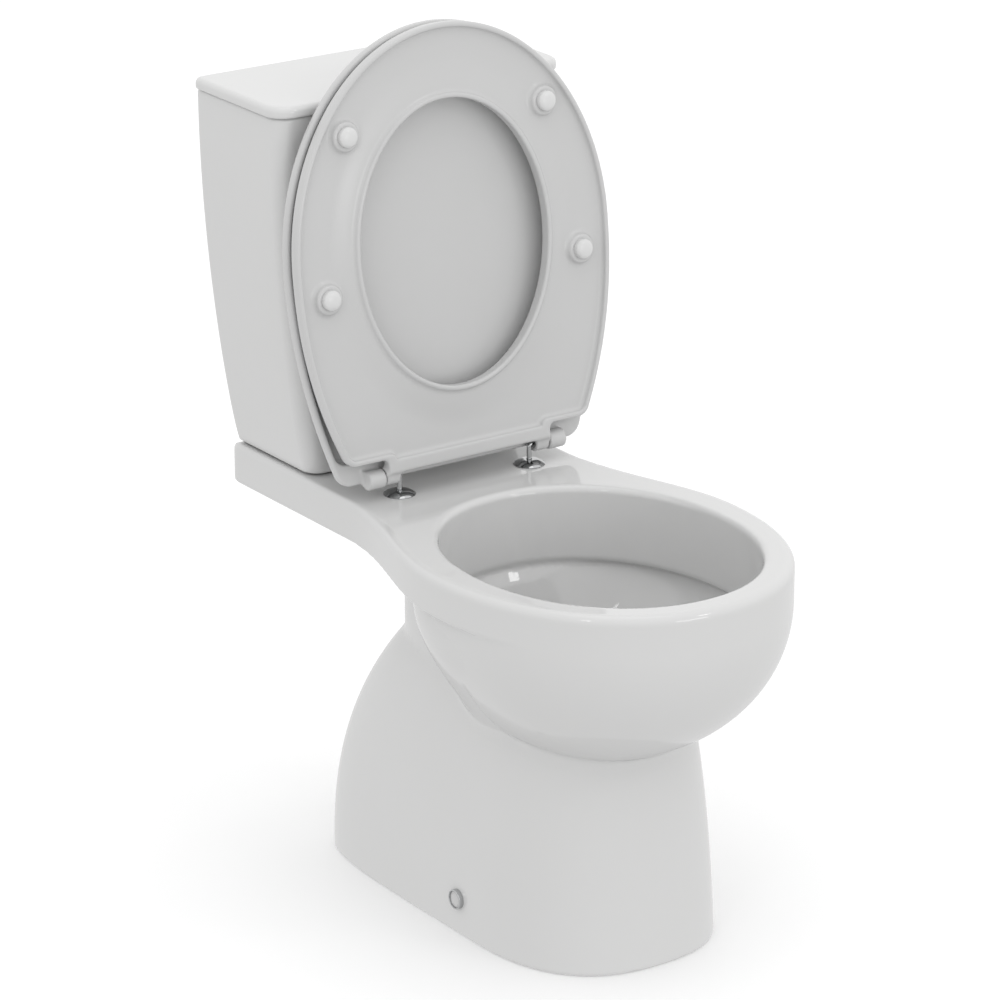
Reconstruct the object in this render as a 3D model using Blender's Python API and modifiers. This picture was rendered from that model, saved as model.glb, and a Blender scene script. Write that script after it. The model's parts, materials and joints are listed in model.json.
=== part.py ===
"""Close coupled toilet: a floor standing pan, a cistern on its shelf, and a raised seat and cover.

Metres, +Z up. The origin is on the floor, at the middle of the plan outline. The wall is at +Y and
the front at -Y. Depths are distances in front of the wall plane, and from_wall() turns one into Y.
Seat parts are drawn closed, about their hinge line, and hang on empties that raise them.
"""

import math

import bmesh
import bpy
from mathutils import Matrix

# Pan
PAN_LENGTH = 0.648
RIM_HEIGHT = 0.400
RIM_HALF_WIDTH = 0.178
RIM_WIDEST = 0.428
SHELF_HALF_WIDTH = 0.130
SHELF_STRAIGHT = 0.210
SHELF_THICKNESS = 0.042
OPENING_HALF_WIDTH = 0.1435
OPENING_REAR = 0.281
OPENING_FRONT = 0.619
RIM_WALL_DEPTH = 0.082
RIM_WALL = 0.009
BELLY_MIDDLE = 0.385
BELLY_DEPTH = 0.195
BELLY_REAR = 0.030  # short: behind it the bowl's own shell shows
FOOT_HALF_WIDTH = 0.1195
FOOT_FRONT = 0.555
FOOT_REAR = 0.108
FOOT_MIDDLE = 0.408
NECK_HALF_WIDTH = 0.095
NECK_FRONT = 0.528
NECK_REAR = 0.180
NECK_HEIGHT = 0.265
CHINA = 0.011

# Cistern
CISTERN_BASE = 0.404
CISTERN_TOP = 0.7745
CISTERN_HALF_WIDTH_LOW = 0.124
CISTERN_HALF_WIDTH_HIGH = 0.165
CISTERN_DEPTH_LOW = 0.137
CISTERN_DEPTH_HIGH = 0.150
CISTERN_CORNER = 0.016
CISTERN_BACK_CORNER = 0.006
CISTERN_WALL = 0.009
CISTERN_FLOOR = 0.012
LID_OVERHANG = 0.004
LID_THICKNESS = 0.0115

# Seat
HINGE_DEPTH = 0.2235
HINGE_HEIGHT = RIM_HEIGHT + 0.021
HINGE_HALF_SPACING = 0.0775
SEAT_REACH = 0.436
SEAT_HALF_WIDTH = 0.183
SEAT_WIDEST = 0.215
HOLE_HALF_WIDTH = 0.114
HOLE_HALF_LENGTH = 0.146
HOLE_MIDDLE = 0.219
RING_LOW, RING_HIGH = -0.0130, 0.0045
COVER_LOW, COVER_HIGH = 0.0060, 0.0195
CLOSING_ANGLE = math.radians(97.0)
PIN_RADIUS = 0.0025
PIN_PLAY = 0.0006
BUFFER_PLACES = ((0.116, 0.341), (0.1485, 0.1875))

# Fittings
OUTLET_DEPTH = 0.075
OUTLET_RADIUS = 0.0305
TANK_BOLT_X, TANK_BOLT_DEPTH = 0.073, 0.092
INLET_X, INLET_DEPTH = 0.095, 0.045
SIDE_FIXING_DEPTH, SIDE_FIXING_HEIGHT = 0.383, 0.037
SIDES = ((-1, "left"), (1, "right"))
GAP = 0.0003


def from_wall(depth):
    return PAN_LENGTH / 2 - depth


def clear_scene():
    for old in list(bpy.data.objects):
        bpy.data.objects.remove(old, do_unlink=True)


def new_collection(name):
    made = bpy.data.collections.new(name)
    bpy.context.scene.collection.children.link(made)
    return made


def new_material(name, colour, roughness, metallic=0.0):
    made = bpy.data.materials.new(name)
    made.use_nodes = True
    shader = made.node_tree.nodes["Principled BSDF"]
    shader.inputs["Base Color"].default_value = (*colour, 1.0)
    shader.inputs["Roughness"].default_value = roughness
    shader.inputs["Metallic"].default_value = metallic
    return made


clear_scene()
PARTS = new_collection("close_coupled_toilet")
CUTTERS = new_collection("cutters")
CERAMIC = new_material("white_glazed_china", (0.86, 0.86, 0.85), 0.08)
PLASTIC = new_material("white_seat_plastic", (0.84, 0.84, 0.84), 0.22)
FITTING = new_material("white_fitting_plastic", (0.78, 0.79, 0.80), 0.4)
BLUE = new_material("blue_fitting_plastic", (0.12, 0.28, 0.55), 0.45)
CHROME = new_material("chrome", (0.75, 0.76, 0.78), 0.08, 1.0)
BRASS = new_material("brass", (0.72, 0.52, 0.22), 0.3, 1.0)
STEEL = new_material("zinc_plated_steel", (0.6, 0.6, 0.6), 0.35, 1.0)
RUBBER = new_material("black_rubber", (0.03, 0.03, 0.03), 0.7)


# ---------------------------------------------------------------- making and joining meshes


def add(name, mesh, finish=None):
    """A part when it has a finish, and otherwise a hidden cutter."""
    made = bpy.data.objects.new(name, mesh)
    if finish:
        PARTS.objects.link(made)
        mesh.materials.clear()
        mesh.materials.append(finish)
        return made
    CUTTERS.objects.link(made)
    made.hide_render = True
    made.display_type = "WIRE"
    return made


def add_bmesh(name, shape, finish=None):
    mesh = bpy.data.meshes.new(name)
    bmesh.ops.recalc_face_normals(shape, faces=shape.faces)
    shape.to_mesh(mesh)
    shape.free()
    return add(name, mesh, finish)


def smooth(part, angle=35):
    part.data.shade_smooth()
    part.data.set_sharp_from_angle(angle=math.radians(angle))
    return part


def loft(name, sections, finish=None):
    """A closed skin through sections that all have the same number of points, low to high."""
    shape = bmesh.new()
    rings = [[shape.verts.new(point) for point in section] for section in sections]
    count = len(rings[0])
    for lower, upper in zip(rings, rings[1:]):
        for i in range(count):
            j = (i + 1) % count
            shape.faces.new((lower[i], lower[j], upper[j], upper[i]))
    shape.faces.new(rings[0])
    shape.faces.new(rings[-1])
    return add_bmesh(name, shape, finish)


def cylinder(name, radius, low, high, x, y, finish=None, sides=24, top_radius=None, axis="Z"):
    """A cylinder or cone between low and high along its axis; x and y are its other two places."""
    shape = bmesh.new()
    top = radius if top_radius is None else top_radius
    bmesh.ops.create_cone(
        shape, cap_ends=True, segments=sides, radius1=radius, radius2=top, depth=high - low
    )
    middle = (low + high) / 2
    if axis == "X":
        placed = Matrix.Translation((middle, x, y)) @ Matrix.Rotation(math.pi / 2, 4, "Y")
    else:
        placed = Matrix.Translation((x, y, middle))
    bmesh.ops.transform(shape, matrix=placed, verts=shape.verts)
    return add_bmesh(name, shape, finish)


def box(name, low, high, finish=None):
    shape = bmesh.new()
    bmesh.ops.create_cube(shape, size=1.0)
    size = [b - a for a, b in zip(low, high)]
    middle = [(a + b) / 2 for a, b in zip(low, high)]
    bmesh.ops.scale(shape, vec=size, verts=shape.verts)
    bmesh.ops.translate(shape, vec=middle, verts=shape.verts)
    return add_bmesh(name, shape, finish)


def as_mesh(curve_object, name, finish=None):
    """The curve's evaluated mesh, with its loose caps welded on."""
    graph = bpy.context.evaluated_depsgraph_get()
    mesh = bpy.data.meshes.new_from_object(curve_object.evaluated_get(graph))
    mesh.name = name
    shape = bmesh.new()
    shape.from_mesh(mesh)
    bmesh.ops.remove_doubles(shape, verts=shape.verts, dist=0.00001)
    bmesh.ops.recalc_face_normals(shape, faces=shape.faces)
    shape.to_mesh(mesh)
    shape.free()
    bpy.data.objects.remove(curve_object, do_unlink=True)
    return add(name, mesh, finish)


def plate(name, outline, low, high, rounding, finish=None, steps=1):
    """A flat outline of (x, y) points, thickened from low to high, with rounded edges."""
    curve = bpy.data.curves.new(name + "_outline", "CURVE")
    curve.dimensions = "2D"
    curve.fill_mode = "BOTH"
    curve.extrude = (high - low) / 2 - rounding
    curve.bevel_depth = rounding
    curve.bevel_resolution = steps
    curve.offset = -rounding
    spline = curve.splines.new("POLY")
    spline.points.add(len(outline) - 1)
    for point, (x, y) in zip(spline.points, outline):
        point.co = (x, y, 0, 1)
    spline.use_cyclic_u = True
    guide = add(name + "_outline", curve)
    bpy.context.view_layer.update()
    made = as_mesh(guide, name, finish)
    made.data.transform(Matrix.Translation((0, 0, (low + high) / 2)))
    return made


def tube(name, points, radius, finish=None, rounding=2):
    """A round bar along (x, y, z) points, with filled ends."""
    curve = bpy.data.curves.new(name + "_path", "CURVE")
    curve.dimensions = "3D"
    curve.bevel_depth = radius
    curve.bevel_resolution = rounding
    curve.use_fill_caps = True
    spline = curve.splines.new("POLY")
    spline.points.add(len(points) - 1)
    for point, place in zip(spline.points, points):
        point.co = (*place, 1)
    guide = add(name + "_path", curve)
    bpy.context.view_layer.update()
    return as_mesh(guide, name, finish)


def combine(part, operation, *others):
    for other in others:
        step = part.modifiers.new(other.name, "BOOLEAN")
        step.operation = operation
        step.object = other
    return part


def join(part, *others):
    return combine(part, "UNION", *others)


def cut(part, *others):
    return combine(part, "DIFFERENCE", *others)


def hang(part, hinge):
    """Parents a seat part and everything that cuts or joins it, drawn closed, to its hinge."""
    part.parent = hinge
    for step in part.modifiers:
        if step.type == "BOOLEAN":
            hang(step.object, hinge)
    return part


def ring(name, outer, inner, low, high, x, y, finish, sides=24, axis="Z"):
    """A washer, nut or bush: a cylinder, or a hexagon for 6 sides, with a round bore."""
    margin = 0.001
    made = cylinder(name, outer, low, high, x, y, finish, sides, axis=axis)
    start, end = low - margin, high + margin
    bore = cylinder(name + "_bore", inner, start, end, x, y, None, max(sides, 24), axis=axis)
    return smooth(cut(made, bore))


# ---------------------------------------------------------------- outlines


def rounded(angle, exponent):
    """Unit superellipse: sideways and lengthways parts at an angle from the front."""
    side, along = math.sin(angle), math.cos(angle)
    power = 2 / exponent
    return (
        math.copysign(abs(side) ** power, side),
        math.copysign(abs(along) ** power, along),
    )


def oval(half_width, front, rear, middle, height, exponent=2.0, rear_exponent=None, count=32):
    """A plan section with different front and rear lengths about its middle depth."""
    points = []
    for i in range(count):
        angle = 2 * math.pi * (i + 0.5) / count
        is_front = math.cos(angle) > 0
        power = exponent if is_front or rear_exponent is None else rear_exponent
        side, along = rounded(angle, power)
        reach = front if is_front else rear
        points.append((half_width * side, from_wall(middle + reach * along), height))
    return points


def ease(value):
    value = min(max(value, 0.0), 1.0)
    return value * value * (3 - 2 * value)


def blend(low, high, share):
    return low + (high - low) * share


def pan_outline():
    """Plan of shelf and rim: straight shelf sides, a smooth flare and an oval front."""
    side = [(SHELF_HALF_WIDTH - 0.006, 0.0), (SHELF_HALF_WIDTH, 0.006)]
    flare_length = RIM_WIDEST - SHELF_STRAIGHT
    for i in range(7):
        share = i / 6
        width = blend(SHELF_HALF_WIDTH, RIM_HALF_WIDTH, ease(share))
        side.append((width, SHELF_STRAIGHT + flare_length * share))
    for i in range(1, 9):
        across, along = rounded(math.pi / 2 * (1 - i / 9), 2.12)
        reach = PAN_LENGTH - RIM_WIDEST
        side.append((RIM_HALF_WIDTH * across, RIM_WIDEST + reach * along))
    right = [(x, from_wall(depth)) for x, depth in side]
    left = [(-x, y) for x, y in reversed(right)]
    return right + [(0.0, from_wall(PAN_LENGTH))] + left


def seat_outline(inset=0.0, rear=0.018, steps=20):
    """Half plan of the seat's outer edge about the hinge line, from the rear corner to the tip."""
    half = SEAT_HALF_WIDTH - inset
    corner = [(0.112, rear), (0.131, rear + 0.003), (0.144, rear + 0.013), (0.1515, rear + 0.030)]
    side = [(x - inset, along) for x, along in corner]
    for i in range(1, 5):
        share = i / 5
        along = blend(corner[-1][1], SEAT_WIDEST, share)
        bow = blend(corner[-1][0], SEAT_HALF_WIDTH, math.sin(math.pi / 2 * share))
        side.append((bow - inset, along))
    for i in range(steps // 2):
        angle = math.pi / 2 * (1 - i / (steps // 2))
        along = blend(SEAT_WIDEST, SEAT_REACH - inset, math.cos(angle))
        side.append((half * math.sin(angle), along))
    return side


def closed_outline(side, tip):
    """Both halves of a seat outline, in the seat's own plane, front at -Y."""
    right = [(x, -along) for x, along in side]
    left = [(-x, y) for x, y in reversed(right)]
    return right + [(0.0, -tip)] + left


def hole_outline(grow, low, high, count=32):
    """The seat's hole as two sections, low and high, in the seat's own plane."""
    sections = []
    for height in (low, high):
        points = []
        for i in range(count):
            angle = 2 * math.pi * (i + 0.5) / count
            x = (HOLE_HALF_WIDTH + grow) * math.sin(angle)
            y = -HOLE_MIDDLE - (HOLE_HALF_LENGTH + grow) * math.cos(angle)
            points.append((x, y, height))
        sections.append(points)
    return sections


# ---------------------------------------------------------------- pan


def belly_scale(height):
    """Plan size of the bowl's outside against its rim, for a height."""
    drop = max(BELLY_MIDDLE - height, 0.0) / BELLY_DEPTH
    return math.sqrt(1 - drop**2)


def belly(name):
    sections = []
    for height in (0.196, 0.206, 0.222, 0.245, 0.272, 0.305, 0.345, 0.385):
        size = belly_scale(height)
        front = (PAN_LENGTH - 0.0015 - RIM_WIDEST) * size
        half = (RIM_HALF_WIDTH - 0.004) * size
        sections.append(oval(half, front, BELLY_REAR * size, RIM_WIDEST, height, 2.12))
    return loft(name, sections)


def pedestal(name, inset, low, high):
    """The foot and its rear hump, from a squared foot to a rounder neck."""
    sections = []
    heights = [low, 0.08, 0.14, 0.185, 0.225, NECK_HEIGHT, high]
    for height in heights:
        hump = min(max(height / NECK_HEIGHT, 0.0), 1.0) ** 2.3
        rear = blend(FOOT_REAR, NECK_REAR, hump)
        half = blend(FOOT_HALF_WIDTH, NECK_HALF_WIDTH, hump)
        front = blend(FOOT_FRONT, NECK_FRONT, min(height / NECK_HEIGHT, 1.0))
        squareness = blend(5.5, 2.8, hump)
        sections.append(
            oval(
                half - inset,
                front - FOOT_MIDDLE - inset,
                FOOT_MIDDLE - rear - inset,
                FOOT_MIDDLE,
                height,
                2.5,
                squareness,
            )
        )
    return loft(name, sections)


def opening(name, grow, low, high):
    """The upright mouth inside the rim."""
    middle = (OPENING_FRONT + OPENING_REAR) / 2
    reach = (OPENING_FRONT - OPENING_REAR) / 2 + grow
    half = OPENING_HALF_WIDTH + grow
    return loft(name, [oval(half, reach, reach, middle, height, 2.08) for height in (low, high)])


def bowl(name, grow):
    """The water bowl below the rim wall: rows of height, half width, front, rear and middle."""
    rows = (
        (0.062 - grow, 0.034, 0.034, 0.034, 0.378),
        (0.085, 0.042, 0.044, 0.042, 0.378),
        (0.130, 0.050, 0.056, 0.050, 0.380),
        (0.170, 0.062, 0.082, 0.062, 0.388),
        (0.210, 0.086, 0.118, 0.090, 0.403),
        (0.250, 0.114, 0.148, 0.112, 0.418),
        (0.290, 0.142, 0.178, 0.136, 0.426),
        (0.330, 0.158, 0.197, 0.150, 0.428),
    )
    sections = []
    for height, half, front, rear, middle in rows:
        sections.append(oval(half + grow, front + grow, rear + grow, middle, height))
    return loft(name, sections)


def rim_shell(name):
    """The outside of the rim's hollow, between the bowl's shell and the underside of the rim."""
    return loft(
        name,
        [
            oval(0.167, 0.206, 0.160, RIM_WIDEST, 0.324),
            oval(0.1705, 0.2125, 0.1715, RIM_WIDEST, 0.351),
            oval(0.1705, 0.2125, 0.1715, RIM_WIDEST, 0.377),
        ],
    )


def rim_channel(name):
    """The hollow inside the rim, open below into the bowl."""
    outer = loft(
        name,
        [
            oval(0.157, 0.196, 0.144, RIM_WIDEST, 0.325),
            oval(0.165, 0.206, 0.163, RIM_WIDEST, 0.352),
            oval(0.165, 0.206, 0.163, RIM_WIDEST, 0.388),
        ],
    )
    return cut(outer, opening(name + "_core", RIM_WALL, 0.30, 0.41))


def trap(name, radius, low):
    """The waterway from the well, up over the weir and down to the floor outlet."""
    points = [(0.360, 0.088), (0.333, 0.090), (0.311, 0.104), (0.298, 0.130), (0.291, 0.160)]
    points += [(0.278, 0.186), (0.254, 0.200), (0.229, 0.190), (0.214, 0.166), (0.207, 0.130)]
    points += [(0.204, 0.080), (0.204, low)]
    path = [(0.0, from_wall(depth), height) for depth, height in points]
    return tube(name, path, radius, rounding=4)


def pan_fixing_holes(side):
    """One side's holes for the cistern bolt, the seat hinge and the floor bracket's screw."""
    bolt_y, hinge_y = from_wall(TANK_BOLT_DEPTH), from_wall(HINGE_DEPTH)
    bolt = cylinder("pan_tank_hole", 0.007, 0.30, 0.41, side * TANK_BOLT_X, bolt_y, None, 16)
    hinge_x = side * HINGE_HALF_SPACING
    hinge = cylinder("pan_seat_hole", 0.007, 0.366, 0.41, hinge_x, hinge_y, None, 16)
    low, high = sorted((side * 0.098, side * 0.138))
    y = from_wall(SIDE_FIXING_DEPTH)
    screw = cylinder("pan_side_hole", 0.0055, low, high, y, SIDE_FIXING_HEIGHT, None, 16, axis="X")
    return bolt, hinge, screw


def make_pan():
    top = RIM_HEIGHT + 0.01
    pan = plate("pan", pan_outline(), RIM_HEIGHT - SHELF_THICKNESS, RIM_HEIGHT, 0.005, CERAMIC)
    join(pan, belly("pan_belly"), pedestal("pan_pedestal", 0.0, 0.0, RIM_HEIGHT - 0.02))
    join(pan, bowl("pan_bowl_shell", CHINA - 0.0003), rim_shell("pan_rim_shell"))
    cavity = pedestal("pan_cavity", CHINA, -0.002, 0.335)
    cut(cavity, bowl("pan_bowl_outside", CHINA), trap("pan_trap_outside", 0.037, 0.008))
    mouth = opening("pan_mouth", 0.0, RIM_HEIGHT - RIM_WALL_DEPTH, top)
    cut(pan, cavity, bowl("pan_bowl", 0.0), mouth)
    cut(pan, rim_channel("pan_rim_channel"), trap("pan_trap", 0.028, -0.002))
    channel_end, channel_start = from_wall(0.270), from_wall(0.034)
    channel = box("pan_flush_channel", (-0.050, channel_end, 0.371), (0.050, channel_start, 0.386))
    outlet_y = from_wall(OUTLET_DEPTH)
    cut(pan, channel, cylinder("pan_flush_mouth", 0.043, 0.3855, top, 0, outlet_y))
    for side, _ in SIDES:
        cut(pan, *pan_fixing_holes(side))
    inlet_y = from_wall(INLET_DEPTH)
    cut(pan, cylinder("pan_inlet_hole", 0.020, 0.30, top, INLET_X, inlet_y, None, 20))
    return smooth(pan)


# ---------------------------------------------------------------- cistern


def cistern_size(height):
    """Half width and depth of the cistern's outside at a height: it swells, then rises upright."""
    share = (height - CISTERN_BASE) / (CISTERN_TOP - CISTERN_BASE)
    bulge = math.sin(math.pi / 2 * min(max(share, 0.0), 1.0)) ** 0.8
    half = blend(CISTERN_HALF_WIDTH_LOW, CISTERN_HALF_WIDTH_HIGH, bulge)
    return half, blend(CISTERN_DEPTH_LOW, CISTERN_DEPTH_HIGH, bulge)


def corner_rectangle(half, back, front, radius, height, steps=4, back_radius=None):
    """A rectangle in plan with round corners, given by its back and front depths."""
    points = []
    back_radius = radius if back_radius is None else back_radius
    corners = (
        (1, front, -1, radius),
        (1, back, 1, back_radius),
        (-1, back, 1, back_radius),
        (-1, front, -1, radius),
    )
    for quarter, (side, depth, inward, round_by) in enumerate(corners):
        cx, cy = side * (half - round_by), depth + inward * round_by
        for i in range(steps + 1):
            angle = math.pi / 2 * (quarter + i / steps)
            across, along = round_by * math.sin(angle), round_by * math.cos(angle)
            points.append((cx + across, from_wall(cy + along), height))
    return points


def tank_block(name, inset, low, high, finish=None):
    """The cistern's swelling outside, or its inside for an inset."""
    sections = []
    for i in range(7):
        height = blend(low, high, i / 6)
        half, depth = cistern_size(height)
        radius = CISTERN_CORNER - inset * 0.6
        section = corner_rectangle(
            half - inset, inset, depth - inset, radius, height, 3, CISTERN_BACK_CORNER
        )
        sections.append(section)
    return loft(name, sections, finish)


def make_cistern():
    cistern = tank_block("cistern", 0.0, CISTERN_BASE, CISTERN_TOP, CERAMIC)
    floor = CISTERN_BASE + CISTERN_FLOOR
    inside = tank_block("cistern_inside", CISTERN_WALL, floor, CISTERN_TOP + 0.01)
    outlet = cylinder("cistern_outlet", OUTLET_RADIUS, 0.39, 0.43, 0, from_wall(OUTLET_DEPTH))
    inlet_y, bolt_y = from_wall(INLET_DEPTH), from_wall(TANK_BOLT_DEPTH)
    inlet = cylinder("cistern_inlet", 0.0115, 0.39, 0.43, INLET_X, inlet_y, None, 20)
    cut(cistern, inside, outlet, inlet)
    for side, _ in SIDES:
        x = side * TANK_BOLT_X
        cut(cistern, cylinder("cistern_bolt_hole", 0.0055, 0.39, 0.43, x, bolt_y, None, 16))
    return smooth(cistern)


def lid_block(name, inset, low, high):
    """The locating lip under the lid, or the hollow inside it, between two heights."""
    half, front = CISTERN_HALF_WIDTH_HIGH - inset, CISTERN_DEPTH_HIGH - inset
    return loft(name, [corner_rectangle(half, inset, front, 0.009, z) for z in (low, high)])


def make_cistern_lid():
    half = CISTERN_HALF_WIDTH_HIGH + LID_OVERHANG
    front = CISTERN_DEPTH_HIGH + LID_OVERHANG
    low = CISTERN_TOP + GAP
    corners = corner_rectangle(half, 0.0, front, 0.022, 0.0, 4, 0.010)
    outline = [(x, y) for x, y, _ in corners]
    lid = plate("cistern_lid", outline, low, low + LID_THICKNESS, 0.0045, CERAMIC)
    lip_inset = CISTERN_WALL + 0.003
    join(lid, lid_block("cistern_lid_lip", lip_inset, low - 0.006, low + 0.004))
    hollow = lid_block("cistern_lid_hollow", lip_inset + 0.007, low - 0.020, low + 0.006)
    hole = cylinder("cistern_lid_hole", 0.0205, 0.74, 0.82, 0, from_wall(OUTLET_DEPTH))
    cut(lid, hollow, hole)
    return smooth(lid)


# ---------------------------------------------------------------- seat, cover and hinges


def hinge_empty(name):
    made = bpy.data.objects.new(name, None)
    PARTS.objects.link(made)
    made.location = (0, from_wall(HINGE_DEPTH), HINGE_HEIGHT)
    made.rotation_euler = (-CLOSING_ANGLE, 0, 0)
    return made


def seat_block(name, low, high, inset, rear, rounding, finish=None):
    outline = closed_outline(seat_outline(inset, rear), SEAT_REACH - inset)
    return plate(name, outline, low, high, rounding, finish)


def seat_barrel(name, side, start, end, radius, sides=20):
    """A round piece along the hinge line, between two distances from the middle."""
    low, high = sorted((side * start, side * end))
    return cylinder(name, radius, low, high, 0.0, 0.0, None, sides, axis="X")


def make_seat_ring(hinge):
    seat = seat_block("seat_ring", RING_LOW, RING_HIGH, 0.0, 0.018, 0.005, PLASTIC)
    rear_low, rear_high = RING_LOW + 0.001, RING_HIGH - 0.001
    land = box("seat_ring_rear", (-0.096, -0.060, rear_low), (0.096, -0.0045, rear_high))
    join(seat, land)
    low, high = RING_LOW - 0.01, RING_LOW + 0.02
    recess = seat_block("seat_ring_recess", RING_LOW - 0.004, RING_LOW + 0.006, 0.010, 0.026, 0.0)
    cut(recess, loft("seat_ring_inner_lip", hole_outline(0.010, low, high)))
    for side, _ in SIDES:
        for x, along in BUFFER_PLACES:
            boss = cylinder("seat_ring_boss", 0.0145, low, high, side * x, -along, None, 20)
            cut(recess, boss)
    cut(seat, recess, loft("seat_ring_hole", hole_outline(0.0, low, high)))
    for side, _ in SIDES:
        join(seat, seat_barrel("seat_ring_knuckle", side, 0.0815, 0.0965, 0.0085))
        cut(seat, seat_barrel("seat_ring_bore", side, 0.070, 0.110, PIN_RADIUS + PIN_PLAY, 16))
    return smooth(hang(seat, hinge))


def make_seat_buffers(hinge):
    low = RIM_HEIGHT - HINGE_HEIGHT + GAP
    high = RING_LOW - GAP
    for end, (x, along) in zip(("front", "rear"), BUFFER_PLACES):
        for side, hand in SIDES:
            name = f"seat_buffer_{end}_{hand}"
            buffer = cylinder(name, 0.0085, low, high, side * x, -along, PLASTIC, 20, 0.0100)
            smooth(hang(buffer, hinge))


def make_seat_cover(hinge):
    cover = seat_block("seat_cover", COVER_LOW, COVER_HIGH, 0.0, -0.004, 0.006, PLASTIC)
    rear_low, rear_high = COVER_LOW + 0.001, COVER_HIGH - 0.001
    join(cover, box("seat_cover_rear", (-0.118, -0.05, rear_low), (0.118, 0.004, rear_high)))
    recess_low, recess_high = COVER_LOW - 0.006, COVER_LOW + 0.008
    cut(cover, seat_block("seat_cover_recess", recess_low, recess_high, 0.006, 0.020, 0.0))
    for side, _ in SIDES:
        cut(cover, seat_barrel("seat_cover_notch", side, 0.0805, 0.0975, 0.0094))
        low, high = sorted((side * 0.0975, side * 0.1140))
        web = box("seat_cover_web", (low, -0.0084, 0.0), (high, 0.0084, COVER_LOW + 0.003))
        join(cover, web, seat_barrel("seat_cover_barrel", side, 0.0975, 0.1140, 0.0085))
        cut(cover, seat_barrel("seat_cover_bore", side, 0.090, 0.1125, PIN_RADIUS + PIN_PLAY, 16))
    return smooth(hang(cover, hinge))


def make_cover_buffers(hinge):
    low, high = RING_HIGH + GAP, COVER_LOW + 0.008 - GAP
    for side, hand in SIDES:
        x = side * 0.126
        buffer = cylinder(f"cover_buffer_{hand}", 0.007, low, high, x, -0.325, PLASTIC, 16)
        smooth(hang(buffer, hinge))


def pintle_path(side, y):
    """Up the post, round a quarter bend and outward along the hinge line."""
    x, bend = side * HINGE_HALF_SPACING, 0.0035
    points = [(x, y, 0.372), (x, y, HINGE_HEIGHT - bend)]
    for i in range(1, 4):
        angle = math.pi / 2 * i / 3
        across, up = bend * (1 - math.cos(angle)), bend * math.sin(angle)
        points.append((x + side * across, y, HINGE_HEIGHT - bend + up))
    return points + [(side * 0.1120, y, HINGE_HEIGHT)]


def make_hinge_fittings():
    y = from_wall(HINGE_DEPTH)
    dome = ((0.0030, 0.0046), (0.0060, 0.0046), (0.0110, 0.0034), (0.0150, 0.0016), (0.0160, 0.0))
    for side, hand in SIDES:
        x = side * HINGE_HALF_SPACING
        smooth(tube(f"hinge_pintle_{hand}", pintle_path(side, y), PIN_RADIUS, CHROME))
        make_turned(f"hinge_disc_{hand}", dome, x, y, RIM_HEIGHT + GAP, CHROME, 20)
        ring(f"hinge_bush_{hand}", 0.0064, 0.0030, 0.3715, RIM_HEIGHT, x, y, RUBBER, 16)


def make_turned(name, profile, x, y, height, finish, sides=24):
    """A turned piece: a profile of (radius, height) points that runs down its outer side."""
    mesh = bpy.data.meshes.new(name)
    closed = list(profile) + [(profile[0][0], profile[-1][1])]
    points = [(radius, 0.0, up) for radius, up in closed]
    count = len(points)
    edges = [(i, (i + 1) % count) for i in range(count)]
    mesh.from_pydata(points, edges, [])
    made = add(name, mesh, finish)
    turn = made.modifiers.new("turn", "SCREW")
    turn.steps = turn.render_steps = sides
    turn.use_merge_vertices = True
    turn.merge_threshold = 0.00005
    turn.use_smooth_shade = True
    made.location = (x, y, height)
    return made


# ---------------------------------------------------------------- push button


def button_outline(side):
    """Half a round button, cut along a line off its middle: the larger half is on -X."""
    radius, split, play, steps = 0.0172, 0.0030, 0.0006, 12
    start = math.acos((split + side * play) / radius)
    low, high = (-start, start) if side > 0 else (start, 2 * math.pi - start)
    y = from_wall(OUTLET_DEPTH)
    angles = [blend(low, high, i / steps) for i in range(steps + 1)]
    return [(radius * math.cos(angle), y + radius * math.sin(angle)) for angle in angles]


def make_button_half(name, side, x, y, top):
    """One half of the button, and the rod under it with a toe that presses the flush valve."""
    outline = button_outline(side)
    smooth(plate(f"button_{name}", outline, top - 0.008, top + 0.0030, 0.0010, CHROME))
    rod_top = top - 0.008 - GAP
    rod = cylinder(f"button_rod_{name}", 0.0027, 0.730, rod_top, x, y, FITTING, 10)
    toe_low, toe_high = sorted((x, x + side * 0.006))
    corner, far_corner = (toe_low - 0.003, y - 0.004, 0.727), (toe_high + 0.003, y + 0.004, 0.732)
    smooth(join(rod, box("rod_toe", corner, far_corner)))


def make_push_button():
    y = from_wall(OUTLET_DEPTH)
    top = CISTERN_TOP + LID_THICKNESS + GAP
    rods = (("full", -1, -0.008), ("half", 1, 0.0105))
    housing = cylinder("button_housing", 0.0265, top + GAP, top + 0.0035, 0, y, CHROME, 32, 0.0250)
    join(housing, cylinder("button_sleeve", 0.0198, top - 0.0343, top + 0.001, 0, y, None, 32))
    cut(housing, cylinder("button_well", 0.0178, top - 0.0308, top + 0.02, 0, y, None, 32))
    for name, side, x in rods:
        cut(housing, cylinder("button_rod_hole", 0.0034, 0.738, 0.778, x, y, None, 12))
        make_button_half(name, side, x, y, top)
    smooth(housing)
    nut_low, nut_high = CISTERN_TOP - 0.010, CISTERN_TOP + 0.0057
    ring("button_nut", 0.0275, 0.0202, nut_low, nut_high, 0, y, FITTING, 24)


# ---------------------------------------------------------------- flush valve


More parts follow.
